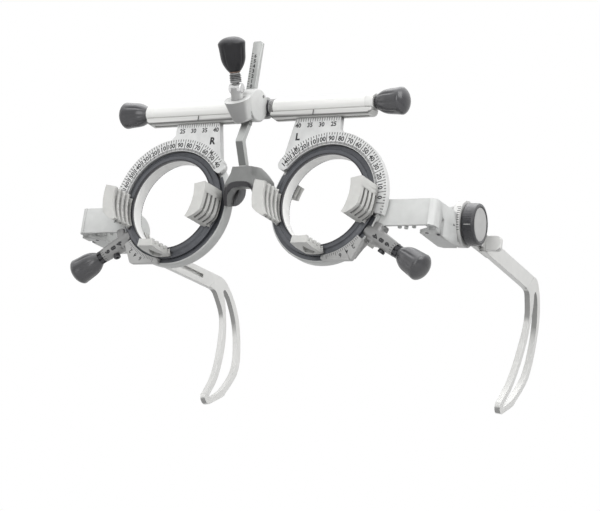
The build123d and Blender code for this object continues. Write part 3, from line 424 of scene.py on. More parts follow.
# Each finish sets how much painted shade lies in its corners and on faces that look forwards and down, and
# how much painted highlight lies on faces that look up.
class Palette:
    """Every finish on the object."""

    tube = Finish("satin_tube", (0.90, 0.90, 0.88), 0.30, 0.10, Grain.BRUSHED, 0.10, 0.003, 0.03,
                  edge=0.2, wear=0.2, grime=0.45, reach=2.6, lip=(0.86, 0.86, 0.84))
    rail = Finish("rail_metal", (0.66, 0.66, 0.645), 0.36, 0.15, Grain.BRUSHED, 0.12, 0.004, 0.06,
                  wear=0.2, lip=(0.20, 0.20, 0.195))
    cap = Finish("end_cap_metal", (0.84, 0.84, 0.82), 0.34, 0.12, Grain.POLISHED, 0.2, 0.003, 0.04,
                 grime=0.7)
    steel = Finish("steel", (0.42, 0.42, 0.42), 0.30, 0.9, Grain.BRUSHED, 0.12, 0.003, 0.06)
    black = Finish("blackened_steel", (0.030, 0.030, 0.034), 0.36, 0.4, Grain.CAST, 0.15, 0.006, 0.2,
                   worn=(0.30, 0.30, 0.31), wear=0.5, grime=0.3)
    # Black ribbed collars that paint the shade where the tubes meet the drum; their tops take the painted
    # highlight.
    collar = Finish("ribbed_collar", (0.035, 0.035, 0.038), 0.40, 0.2, Grain.CAST, 0.15, 0.006, 0.2,
                    worn=(0.46, 0.46, 0.46), wear=0.4, grime=0.3, dust=0.8)
    brass = Finish("brass", (0.55, 0.40, 0.16), 0.35, 0.9, Grain.TURNED, 0.12, 0.003, 0.06)
    copper = Finish("copper_washer", (0.22, 0.15, 0.12), 0.4, 0.6, Grain.CAST, 0.12, 0.003, 0.1)
    knob = Finish("knob_rubber", (0.040, 0.040, 0.044), 0.24, 0.0, Grain.MOULDED, 0.16, 0.006, 0.10,
                  edge=0.25, worn=(0.34, 0.34, 0.35), wear=0.25, grime=0.2, dust=0.5, specular=0.6)
    dark_knob = Finish("dark_knob_rubber", (0.016, 0.016, 0.018), 0.32, 0.0, Grain.MOULDED, 0.16, 0.010, 0.12,
                       edge=0.25, worn=(0.26, 0.26, 0.27), wear=0.2, grime=0.2, dust=0.4, specular=0.24)
    plate = Finish("satin_plate", (0.66, 0.665, 0.66), 0.34, 0.35, Grain.TURNED, 0.14, 0.004, 0.07,
                   edge=0.18, wear=0.3, grime=0.5)
    housing = Finish("painted_casting", (0.66, 0.67, 0.66), 0.46, 0.0, Grain.CAST, 0.30, 0.006, 0.05,
                     edge=0.22, wear=0.1, grime=0.55)
    ring = Finish("anodised_ring", (0.082, 0.086, 0.096), 0.36, 0.30, Grain.TURNED, 0.14, 0.005, 0.12,
                  edge=0.16, worn=(0.34, 0.35, 0.37), wear=0.5, grime=0.5)
    liner = Finish("matt_liner", (0.97, 0.97, 0.96), 0.45, 0.0, Grain.TURNED, 0.16, 0.004, 0.02,
                   edge=0.15, wear=0.1, grime=0.0)
    comb = Finish("comb_plastic", (0.62, 0.62, 0.60), 0.46, 0.0, Grain.MOULDED, 0.20, 0.006, 0.05,
                  edge=0.20, wear=0.2, grime=1.0, reach=4.5)
    sleeve = Finish("sleeve_metal", (0.27, 0.27, 0.268), 0.36, 0.25, Grain.CAST, 0.22, 0.005, 0.07,
                    edge=0.2, wear=0.3, grime=0.7, reach=3.0)
    block = Finish("scale_block", (0.39, 0.39, 0.385), 0.38, 0.2, Grain.CAST, 0.22, 0.005, 0.06,
                   edge=0.2, wear=0.3, grime=0.6)
    holder = Finish("holder_plastic", (0.70, 0.70, 0.69), 0.45, 0.0, Grain.MOULDED, 0.25, 0.006, 0.05)
    wheel = Finish("wheel_rubber", (0.040, 0.040, 0.044), 0.27, 0.0, Grain.MOULDED, 0.18, 0.010, 0.14,
                   edge=0.2, worn=(0.36, 0.36, 0.37), wear=0.3, grime=0.3, dust=0.6, specular=0.32)
    wheel_cap = Finish("wheel_cap_metal", (0.46, 0.46, 0.455), 0.34, 0.4, Grain.CAST, 0.2, 0.003, 0.06)
    temple = Finish("temple_metal", (0.70, 0.70, 0.685), 0.38, 0.25, Grain.CAST, 0.3, 0.003, 0.03,
                    edge=0.3, wear=0.12, grime=0.4, lip=(0.31, 0.31, 0.305))
    chrome = Finish("bright_chrome", (0.62, 0.62, 0.62), 0.22, 0.7, Grain.POLISHED, 0.25, 0.001, 0.03,
                    wear=0.1)
    stem = Finish("grey_neck", (0.24, 0.24, 0.24), 0.35, 0.3, Grain.CAST, 0.2, 0.004, 0.08, wear=0.2)
    rod = Finish("satin_rod", (0.46, 0.47, 0.46), 0.36, 0.2, Grain.CAST, 0.2, 0.004, 0.06, edge=0.25,
                 grime=0.95, reach=6.0, lip=(0.155, 0.16, 0.157))
    hub = Finish("hub_casting", (0.66, 0.665, 0.655), 0.42, 0.0, Grain.CAST, 0.30, 0.006, 0.05,
                 edge=0.22, wear=0.2, grime=1.0, reach=6.0, lip=(0.36, 0.36, 0.358))
    saddle = Finish("saddle_plastic", (0.20, 0.204, 0.20), 0.42, 0.0, Grain.MOULDED, 0.24, 0.008, 0.08,
                    edge=0.35, worn=(0.42, 0.42, 0.41), wear=0.3, grime=0.85, reach=5.0,
                    lip=(0.030, 0.029, 0.033))
    pad = Finish("soft_pad", (0.16, 0.16, 0.165), 0.45, 0.0, Grain.CAST, 0.3, 0.006, 0.06,
                 edge=0.3, wear=0.0)
    ink = Finish("scale_ink", (0.016, 0.016, 0.018), 0.5, 0.0, Grain.CAST, 0.12, 0.002, 0.25,
                 edge=0.02, worn=(0.1, 0.1, 0.1), wear=0.3, grime=0.0)
    index = Finish("index_paint", (0.34, 0.34, 0.335), 0.5, 0.0, Grain.CAST, 0.12, 0.002, 0.1,
                   edge=0.02, wear=0.0, grime=0.0)


SLOTS: Dict[str, str] = {name: held.data.materials[0].name for name, held in frame["nodes"].items()}


def dress(node: str, finish: Finish) -> None:
    """Give a CAD node its finish.

    Args:
        node: the CAD node.
        finish: the finish for all its slots.
    """
    for held in frame["nodes"][node].material_slots:
        held.material = finish.material()
    log.info("%s: %s", node, finish.name)


# ---- modelling ------------------------------------------------------------------------
def turned(profile: Outline, steps: int) -> bmesh.types.BMesh:
    """Closed body of revolution about +Z.

    Args:
        profile: points as radius and height, from one end on the axis to the other, or a ring's
            outline that comes back to its first point.
        steps: number of divisions round the axis.

    Returns:
        The body, with its poles merged and its faces outwards.
    """
    bm = bmesh.new()
    row = [bm.verts.new((r, 0.0, z)) for r, z in profile]
    edges = [bm.edges.new(pair) for pair in zip(row, row[1:])]
    bmesh.ops.spin(bm, geom=row + edges, cent=(0, 0, 0), axis=(0, 0, 1), angle=2 * math.pi,
                   steps=steps, use_merge=True, use_duplicate=False)
    bmesh.ops.remove_doubles(bm, verts=bm.verts, dist=WELD)
    bmesh.ops.recalc_face_normals(bm, faces=bm.faces)
    return bm


def drawn_in(vert: bmesh.types.BMVert, cut: float) -> None:
    """Bring a vertex this much nearer to the Z axis."""
    share = 1 - cut / math.hypot(vert.co.x, vert.co.y)
    vert.co.x *= share
    vert.co.y *= share


def linked(name: str, data: bpy.types.ID) -> bpy.types.Object:
    """Object of this data, linked to the scene.

    Args:
        name: the object's name.
        data: its mesh, camera or lamp.

    Returns:
        The object, at the origin.
    """
    made = bpy.data.objects.new(name, data)
    bpy.context.scene.collection.objects.link(made)
    return made


def socket_screw(radius: float, rise: float) -> bmesh.types.BMesh:
    """Round screw head along +Z with a socket in it; it stands this far out of its surface."""
    return turned([(0.0, -0.3), (radius, -0.3), (radius, rise - 0.08), (radius - 0.08, rise),
                   (radius * 0.5, rise), (radius * 0.45, rise - 0.25), (0.0, rise - 0.25)], 24)


class Piece:
    """A finished mesh object that is gathered from placed shapes."""

    def __init__(self, name: str, finish: Finish, body: str, slot: str) -> None:
        """Start empty, with the finish, the body to ride on and the record's material slot, which the piece
        keeps but nothing uses.
        """
        self.name, self.finish, self.body, self.slot = name, finish, body, slot
        self.bm = bmesh.new()

    def add(self, shape: bmesh.types.BMesh, place: Matrix) -> None:
        """Put a shape into the piece and free the shape.

        Args:
            shape: the shape, in millimetres about its own origin.
            place: its placement in the row frame.
        """
        bmesh.ops.transform(shape, matrix=place, verts=shape.verts)
        part = bpy.data.meshes.new("part")
        shape.to_mesh(part)
        shape.free()
        self.bm.from_mesh(part)
        bpy.data.meshes.remove(part)

    def finished(self, *replaced: str, smooth: float = 35.0, outwards: bool = True) -> bpy.types.Object:
        """Make the object.

        Args:
            *replaced: CAD nodes that the piece stands for.
            smooth: edges that turn more than this, in degrees, stay sharp.
            outwards: whether the normals are recalculated.

        Returns:
            The object, riding on its body.
        """
        if outwards:
            bmesh.ops.recalc_face_normals(self.bm, faces=self.bm.faces)
        mesh = bpy.data.meshes.new(self.name)
        self.bm.to_mesh(mesh)
        self.bm.free()
        mesh.shade_smooth()
        mesh.set_sharp_from_angle(angle=math.radians(smooth))
        made = linked(self.name, mesh)
        mesh.materials.append(self.finish.material())
        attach(made, self.body)
        if replaced:
            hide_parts(*replaced)
        log.info("%s: %d faces on %s", self.name, len(mesh.polygons), self.body)
        return made


def refine(node: str, finish: Finish, bevel: float = 0.0, crisp: float = 32.0) -> None:
    """Stand a merged and smoothly shaded copy of a CAD node in its place.

    Args:
        node: the CAD node.
        finish: the copy's finish.
        bevel: how far its crisp edges are broken, in millimetres.
        crisp: edges that turn more than this, in degrees, stay sharp.
    """
    merge_mm, flat, sharp = 0.002, math.radians(1.0), math.radians(40)
    held = frame["nodes"][node]
    made = Piece(f"{node}_body", finish, held["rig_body"], SLOTS[node])
    bm = made.bm
    bm.from_mesh(held.data)
    bmesh.ops.remove_doubles(bm, verts=bm.verts, dist=merge_mm * MM)
    if bevel:
        bmesh.ops.dissolve_limit(bm, angle_limit=flat, verts=bm.verts, edges=bm.edges)
        edges = [e for e in bm.edges if len(e.link_faces) == 2 and e.calc_face_angle() > sharp]
        bmesh.ops.bevel(bm, geom=edges, offset=bevel * MM, offset_type="OFFSET", affect="EDGES",
                        segments=2, profile=0.5, material=-1, clamp_overlap=True)
    shell = made.finished(node, smooth=crisp, outwards=False)
    level = shell.modifiers.new("level", "WEIGHTED_NORMAL")
    level.keep_sharp = True


class Printer:
    """Draws ticks and numerals as thin raised print, and keeps the numerals it has cut."""

    depth: float = 0.03
    type_size: float = 1.4
    cut: Dict[Tuple[str, float], bpy.types.Mesh] = {}

    @classmethod
    def word(cls, text: str, height: float, weight: float = 0.0) -> bmesh.types.BMesh:
        """Word about the origin in the XY plane, this high.

        Args:
            text: the letters or digits.
            height: height of a capital, in millimetres.
            weight: how much bolder than the plain face, in millimetres.

        Returns:
            The word as a thin solid.
        """
        key = (text, weight)
        if key not in cls.cut:
            curve = bpy.data.curves.new("word", "FONT")
            curve.body, curve.size = text, cls.type_size
            curve.align_x, curve.align_y = "CENTER", "CENTER"
            curve.extrude, curve.resolution_u, curve.offset = cls.depth / 2, 2, weight
            holder = bpy.data.objects.new("word", curve)
            cls.cut[key] = bpy.data.meshes.new_from_object(holder)
            bpy.data.objects.remove(holder)
            bpy.data.curves.remove(curve)
        bm = bmesh.new()
        bm.from_mesh(cls.cut[key])
        low, high = min(v.co.y for v in bm.verts), max(v.co.y for v in bm.verts)
        left, right = min(v.co.x for v in bm.verts), max(v.co.x for v in bm.verts)
        size = height / (high - low)
        bmesh.ops.translate(bm, vec=(-(left + right) / 2, -(low + high) / 2, 0.0), verts=bm.verts)
        bmesh.ops.scale(bm, vec=(size, size, 1.0), verts=bm.verts)
        return bm

    @classmethod
    def dash(cls, length: float, width: float) -> bmesh.types.BMesh:
        """Tick from the origin along +Y.

        Args:
            length: its length, in millimetres.
            width: its width, in millimetres.

        Returns:
            The tick as a thin solid.
        """
        bm = bmesh.new()
        bmesh.ops.create_cube(bm, size=1.0)
        bmesh.ops.scale(bm, vec=(width, length, cls.depth), verts=bm.verts)
        bmesh.ops.translate(bm, vec=(0.0, length / 2, 0.0), verts=bm.verts)
        return bm

    @staticmethod
    def wrapped(bm: bmesh.types.BMesh, radius: Callable[[float], float]) -> bmesh.types.BMesh:
        """Wrap print drawn in the XY plane round the Y axis; the middle of it faces +Z.

        Args:
            bm: the print.
            radius: the surface's radius at a place along the axis.

        Returns:
            The wrapped print.
        """
        cuts = 6
        left, right = min(v.co.x for v in bm.verts), max(v.co.x for v in bm.verts)
        for step in range(1, cuts):
            bmesh.ops.bisect_plane(bm, geom=list(bm.verts) + list(bm.edges) + list(bm.faces),
                                   plane_co=(left + (right - left) * step / cuts, 0, 0), plane_no=(1, 0, 0))
        for v in bm.verts:
            r = radius(v.co.y)
            turn, r = v.co.x / r, r + v.co.z
            v.co = Vector((r * math.sin(turn), v.co.y, r * math.cos(turn)))
        return bm


# ---- sub-assemblies ---------------------------------------------------------------------
@dataclass(frozen=True)
class Knob:
    """Bullet-shaped hand knob with shallow flutes, on its own axis from its neck.

    neck and rim are radii and dome is the height of the crown. The side widens along a power
    curve until shoulder_at of the length, where it is this shoulder short of the rim, and swells
    again from swell_from on. A flute reaches flute_turn degrees each way, and starts and spans
    these shares of the length. facing is the direction that one flute keeps to.
    """

    length: float = 10.4
    neck: float = 2.5
    rim: float = 5.1
    dome: float = 2.3
    shoulder: float = 0.42
    shoulder_at: float = 0.62
    shoulder_power: float = 2.3
    swell: float = 0.40
    swell_from: float = 0.55
    swell_power: float = 1.2
    dome_powers: Tuple[float, float] = (0.82, 1.5)
    flutes: int = 8
    flute_depth: float = 0.30
    flute_turn: float = 8.5
    flute_start: float = 0.16
    flute_span: float = 0.70
    facing: Triple = (0.13, 0.31, 0.94)
    side_steps: int = 14
    dome_steps: int = 10
    steps: int = 128

    def profile(self) -> Outline:
        """Points from the pole of the neck to the pole of the dome.

        Returns:
            The points, as radius and height.
        """
        side = [(0.0, 0.0), (self.neck - 0.35, 0.0), (self.neck - 0.1, 0.08), (self.neck, 0.3)]
        reach = self.rim - self.shoulder - self.neck
        for step in range(1, self.side_steps + 1):
            t = step / self.side_steps
            bulge = 1 - (1 - min(t / self.shoulder_at, 1.0)) ** self.shoulder_power
            late = max(0.0, (t - self.swell_from) / (1 - self.swell_from)) ** self.swell_power
            side.append((self.neck + reach * bulge + self.swell * late, 0.3 + (self.length - 0.5) * t))
        across, up = self.dome_powers
        for step in range(1, self.dome_steps):
            turn = math.pi / 2 * step / self.dome_steps
            side.append(((self.rim - 0.05) * math.cos(turn) ** across,
                         self.length + self.dome * math.sin(turn) ** up))
        return side + [(0.0, self.length + self.dome - 0.01)]

    def shape(self) -> bmesh.types.BMesh:
        """The knob along +Z, in millimetres.

        Returns:
            The fluted knob.
        """
        bm = turned(self.profile(), self.steps)
        pitch = 360.0 / self.flutes
        for v in bm.verts:
            if math.hypot(v.co.x, v.co.y) < 1.0:
                continue
            angle = math.degrees(math.atan2(v.co.y, v.co.x)) % pitch
            across = min(angle, pitch - angle) / self.flute_turn
            along = (v.co.z - self.length * self.flute_start) / (self.length * self.flute_span)
            if across < 1.0 and 0.0 < along < 1.0:
                drawn_in(v, self.flute_depth * (1 - across * across) ** 1.5
                         * math.sin(math.pi * along) ** 0.5)
        return bm

    def make(self, node: str, body: str, root: Vector, along: Vector,
             finish: Finish = Palette.knob) -> None:
        """Set the knob on its shaft in place of a CAD node.

        Args:
            node: the CAD node.
            body: the body that the knob rides on.
            root: where its neck starts.
            along: direction from the neck to the dome.
            finish: its finish.
        """
        made = Piece(f"fluted_{node}", finish, body, "knob")
        made.add(self.shape(), placement(root, along, Vector(self.facing)))
        made.finished(node, smooth=50.0)


@dataclass(frozen=True)
class UpperBar:
    """The tubes with their rails, end caps and index ticks, and the two drive knobs."""

    axis_y: float = 0.35
    axis_z: float = 36.7
    knob_root: float = 49.8
    index_x: float = 25.1
    index_width: float = 0.34
    rail_front: float = -2.5
    rail_top: float = 34.1
    rail_bottom: float = 31.9

    def index(self, side: Side) -> None:
        """Reading tick on the rail.

        Args:
            side: the side that it is on.
        """
        made = Piece(f"bar_index_{side.label}", Palette.ink, "front_bar", "tube")
        foot = spot(side.value * self.index_x, self.rail_front, self.rail_bottom + 0.05)
        made.add(Printer.dash(self.rail_top - self.rail_bottom - 0.1, self.index_width),
                 placement(foot, FRONT, UP))
        made.finished()

    def build(self) -> None:
        """Dress the bar and set its knobs."""
        for side in Side:
            end = side.label
            refine(f"bar_tube_{end}", Palette.tube)
            refine(f"slide_rail_{end}", Palette.rail)
            refine(f"end_cap_{end}", Palette.cap)
            dress(f"pd_screw_{end}", Palette.steel)
            dress(f"carrier_nut_{end}", Palette.brass)
            self.index(side)
            root = spot(side.value * self.knob_root, self.axis_y, self.axis_z)
            Knob().make(f"pd_knob_{end}", f"pd_drive_{end}", root, side.outwards)
        refine("hub_core", Palette.black)


@dataclass(frozen=True)
class EyeScale:
    """Print on one scale plate: the axis protractor, the millimetre scale and the eye's letter.

    inner, numerals and outer are radii about the lens centre. A pair of lengths is the common
    tick's and the marked one's, and a type is the height and the weight of its letters.
    """

    side: Side
    inner: float = 21.35
    outer: float = 25.75
    numerals: float = 23.45
    numeral_height: float = 1.95
    weight: float = 0.045
    fine: float = 0.20
    bold: float = 0.28
    one_degree: float = 0.85
    five_degrees: float = 3.5
    ten_degrees: float = 0.95
    last_numeral: int = 140
    rim_lengths: Tuple[float, float] = (0.85, 1.15)
    tab_top: float = 31.7
    tab_lengths: Tuple[float, float] = (1.35, 1.75)
    tab_first: int = 23
    tab_last: int = 41
    label_z: float = 29.0
    label_height: float = 1.85
    index_at: float = 58.0
    letter_x: float = 18.6
    letter_z: float = 24.6
    letter_type: Tuple[float, float] = (2.9, 0.06)
    first: int = -13
    last: int = 142

    def place(self, x: float, z: float, turn: float = 0.0) -> Matrix:
        """Placement on the plate's front face at this point of the cell's plane, turned from upright."""
        up = Vector((math.sin(math.radians(-turn)), 0.0, math.cos(math.radians(-turn))))
        return placement(spot(x, 0.0, z), FRONT, up)

    def radial(self, made: Piece, shape: bmesh.types.BMesh, angle: float, radius: float) -> None:
        """Put print on the protractor with its foot towards the lens."""
        x, z = ring_point(angle, radius)
        made.add(shape, self.place(self.side.value * HALF_PD + x, z, angle - 90.0))

    def protractor(self, made: Piece) -> None:
        """Axis ticks at each degree, long ones at the fives and numerals over the tens.

        Args:
            made: the piece that takes the print.
        """
        for step in range(self.first, self.last + 1):
            angle = self.side.mirrored(step)
            fives, tens = step % 5 == 0, step % 10 == 0
            long = self.ten_degrees if tens else self.five_degrees if fives else self.one_degree
            tick = Printer.dash(long, self.bold if fives else self.fine)
            self.radial(made, tick, angle, self.inner)
            if tens and 0 <= step <= self.last_numeral:
                numeral = Printer.word(str(angle), self.numeral_height, self.weight)
                self.radial(made, numeral, angle, self.numerals)

    def rim_ticks(self, made: Piece) -> None:
        """Bold ticks round the plate's outer edge, four to each ten degrees.

        Args:
            made: the piece that takes the print.
        """
        quarter, ten = self.rim_lengths
        for step in range(4 * self.first // 10, 4 * self.last // 10 + 1):
            long = ten if step % 4 == 0 else quarter
            self.radial(made, Printer.dash(long, self.bold), self.side.mirrored(2.5 * step),
                        self.outer - long)

    def millimetres(self, made: Piece) -> None:
        """Half-distance scale along the tab's top edge.

        Args:
            made: the piece that takes the print.
        """
        one, five = self.tab_lengths
        for value in range(self.tab_first, self.tab_last + 1):
            x = self.side.value * (self.index_at - value)
            long = five if value % 5 == 0 else one
            made.add(Printer.dash(long, self.fine), self.place(x, self.tab_top - long))
            if value % 5 == 0:
                made.add(Printer.word(str(value), self.label_height, self.weight),
                         self.place(x, self.label_z))

    def build(self) -> None:
        """Print the plate."""
        end = self.side.label
        made = Piece(f"scale_print_{end}", Palette.ink, f"eye_carrier_{end}", "plate")
        self.protractor(made)
        self.rim_ticks(made)
        self.millimetres(made)
        made.add(Printer.word(self.side.name[0], *self.letter_type),
                 self.place(self.side.value * self.letter_x, self.letter_z))
        made.finished()


@dataclass(frozen=True)
class LensCell:
    """Turning cell with its gear ring, its combs and the housing that it runs in.

    The liner, the black ring at the bore and the dark band round the housing are sections as radius and
    height in front of their own back, which lies this far behind the optical datum. The ring at the bore and
    the band are painted shade, at the bore's edge and just outside the gear ring. The band runs between two
    angles on the left cell.
    """

    side: Side
    ring_steps: int = 192
    liner_back: float = 8.2
    liner: Outline = ((17.4, 7.0), (18.2, 7.0), (18.2, 0.6), (20.3, 0.6), (20.3, 0.0), (18.68, 0.0),
                      (17.4, 2.3))
    retainer_back: float = 0.5
    retainer: Outline = ((17.3, 0.0), (17.8, 0.0), (17.8, 0.66), (17.72, 0.72), (17.3, 0.72))
    shim_back: float = 2.46
    shim: Outline = ((21.05, 0.0), (22.5, 0.0), (22.5, 0.2), (21.05, 0.2))
    shim_start: float = 151.0
    shim_end: float = 343.0
    shim_steps: int = 96

    def place(self, back: float) -> Matrix:
        """Placement on the cell's axis, this far behind the optical datum, facing forwards."""
        return placement(spot(self.side.value * HALF_PD, back, 0.0), FRONT, UP)

    def housing_shim(self) -> None:
        """Dark band of painted shade round the housing's front, where the scale plate leaves it open."""
        bm = bmesh.new()
        face = bm.faces.new([bm.verts.new((r, 0.0, z)) for r, z in self.shim])
        start = Matrix.Rotation(math.radians(self.shim_start), 3, "Z")
        bmesh.ops.rotate(bm, cent=(0, 0, 0), matrix=start, verts=bm.verts)
        bmesh.ops.spin(bm, geom=[face, *face.edges, *face.verts], cent=(0, 0, 0), axis=(0, 0, 1),
                       angle=math.radians(self.shim_end - self.shim_start),
                       steps=self.shim_steps, use_duplicate=False)
        if self.side is Side.RIGHT:
            bmesh.ops.scale(bm, vec=(-1, 1, 1), verts=bm.verts)
        label = self.side.label
        made = Piece(f"housing_shim_{label}", Palette.ring, f"eye_carrier_{label}", "rail")
        made.add(bm, self.place(self.shim_back))
        made.finished()

    def round_piece(self, name: str, finish: Finish, section: Outline, back: float,
                    *replaced: str) -> None:
        """Ring about the cell's axis.

        Args:
            name: name of the piece.
            finish: its finish.
            section: closed outline, as radius and height in front of its back.
            back: how far behind the optical datum the back lies.
            *replaced: CAD nodes that the ring stands for.
        """
        end = self.side.label
        made = Piece(f"{name}_{end}", finish, f"lens_cell_{end}", SLOTS[f"cell_liner_{end}"])
        made.add(turned([*section, section[0]], self.ring_steps), self.place(back))
        made.finished(*replaced)

    def build(self) -> None:
        """Dress the cell and print its scales."""
        end = self.side.label
        ring = f"cell_ring_{end}"
        refine(ring, Palette.ring.about(ring))
        self.round_piece("barrel_liner", Palette.liner.about(ring), self.liner, self.liner_back,
                         f"cell_liner_{end}")
        # Black ring that paints shade at the edge of the bore.
        self.round_piece("lip_retainer", Palette.black, self.retainer, self.retainer_back)
        refine(f"scale_plate_{end}", Palette.plate.about(ring))
        refine(f"cell_housing_{end}", Palette.housing)
        for node in ("rear_clips", "comb_temple", "comb_nose", "bottom_clip"):
            refine(f"{node}_{end}", Palette.comb)
        self.housing_shim()
        EyeScale(self.side).build()


@dataclass(frozen=True)
class AxisDrive:
    """Slanting sleeve with its numerals, lock screw and knob, and the vernier block's print.

    Places on the sleeve are distances from the lens centre. A type is the height and the weight
    of its numerals, and sleeve_tick the length and the width of a tick. Print on the block ends
    above tick_foot and text_foot, where the block does.
    """

    side: Side
    angle: float = -31.2
    depth: float = 4.9
    sleeve_start: float = 21.3
    sleeve_end: float = 35.4
    start_radius: float = 3.3
    end_radius: float = 2.6
    knob_root: float = 37.4
    screw_at: float = 30.5
    screw: Outline = ((0, -0.8), (0.9, -0.8), (0.9, 0.1), (1.3, 0.2), (1.35, 0.35), (1.35, 1.15),
                      (1.2, 1.3), (0.6, 1.3), (0.52, 0.7), (0.0, 0.7))
    sleeve_text: Tuple[Tuple[float, str], ...] = ((26.6, "4"), (29.6, "8"), (32.6, "6"))
    sleeve_type: Tuple[float, float] = (2.3, 0.10)
    sleeve_facing: Triple = (0.3, -0.85, -0.2)
    sleeve_tick: Tuple[float, float] = (0.9, 0.2)
    tick_back: float = 1.1
    block_face: float = 0.4
    block_ticks: Tuple[float, float] = (1.0, 1.6)
    block_text: Tuple[Tuple[str, float], ...] = (("6", -64), ("4", -57), ("2", -50))
    block_type: Tuple[float, float] = (1.7, 0.03)
    tick_width: float = 0.16
    tick_radius: float = 21.4
    text_radius: float = 23.6
    tick_foot: float = -22.6
    text_foot: float = -21.9

    @property
    def along(self) -> Vector:
        """Direction from the lens centre down the sleeve."""
        turn = math.radians(self.angle)
        return Vector((self.side.value * math.cos(turn), 0.0, math.sin(turn)))

    def point(self, distance: float) -> Vector:
        """Point on the drive's centre line at this distance from the lens centre."""
        return spot(self.side.value * HALF_PD, self.depth, 0.0) + self.along * (distance * MM)

    def radius(self, distance: float) -> float:
        """Radius of the tapered sleeve at this distance from the lens centre."""
        share = (distance - self.sleeve_start) / (self.sleeve_end - self.sleeve_start)
        return self.start_radius + (self.end_radius - self.start_radius) * share

    def numerals(self, made: Piece) -> None:
        """Numerals and ticks round the sleeve's front.

        Args:
            made: the piece that takes the print.
        """
        front = Vector(self.sleeve_facing)
        front -= self.along * front.dot(self.along)
        for place, text in self.sleeve_text:
            word = Printer.word(text, *self.sleeve_type)
            Printer.wrapped(word, lambda along, at=place: self.radius(at + along))
            made.add(word, placement(self.point(place), front, self.along))
        root = self.sleeve_end - self.tick_back
        for turn in range(-60, 61, 20):
            tick = Printer.dash(*self.sleeve_tick)
            Printer.wrapped(tick, lambda along: self.radius(root + along))
            face = Matrix.Rotation(math.radians(turn), 3, self.along) @ front
            made.add(tick, placement(self.point(root), face, self.along))

    def lock_screw(self) -> None:
        """Black socket screw under the sleeve."""
        end = self.side.label
        made = Piece(f"lock_screw_{end}", Palette.black, f"eye_carrier_{end}", "screw")
        down = self.along.cross(FRONT)
        down = down if down.z < 0 else -down
        at = self.point(self.screw_at) + down * ((self.radius(self.screw_at) - 0.1) * MM)
        made.add(turned(self.screw, 32), placement(at, down, self.along))
        made.finished()

    def vernier(self, made: Piece) -> None:
        """Ticks and numerals on the lower scale block, against which the cell's turn is read.

        Args:
            made: the piece that takes the print.
        """
        def mark(shape: bmesh.types.BMesh, x: float, z: float) -> None:
            """Put print on the block's front, upright from the lens centre."""
            face = spot(self.side.value * HALF_PD + x, self.block_face, z)
            made.add(shape, placement(face, FRONT, Vector((x, 0.0, z))))

        one, five = self.block_ticks
        for step, angle in enumerate(range(-78, -41, 2)):
            x, z = ring_point(self.side.mirrored(angle), self.tick_radius)
            long = five if step % 5 == 0 else one
            if z - long * 0.9 > self.tick_foot:
                mark(Printer.dash(long, self.tick_width), x, z)
        for text, angle in self.block_text:
            x, z = ring_point(self.side.mirrored(angle), self.text_radius)
            if z > self.text_foot:
                mark(Printer.word(text, *self.block_type), x, z)

    def build(self) -> None:
        """Dress the drive and add its print, screw and knob."""
        end = self.side.label
        refine(f"gear_housing_{end}", Palette.sleeve)
        refine(f"vernier_block_{end}", Palette.block)
        refine(f"axis_shaft_{end}", Palette.black)
        made = Piece(f"drive_print_{end}", Palette.ink, f"eye_carrier_{end}", "housing")
        self.numerals(made)
        self.vernier(made)
        made.finished()
        self.lock_screw()
        Knob().make(f"axis_knob_{end}", f"axis_drive_{end}", self.point(self.knob_root), self.along)


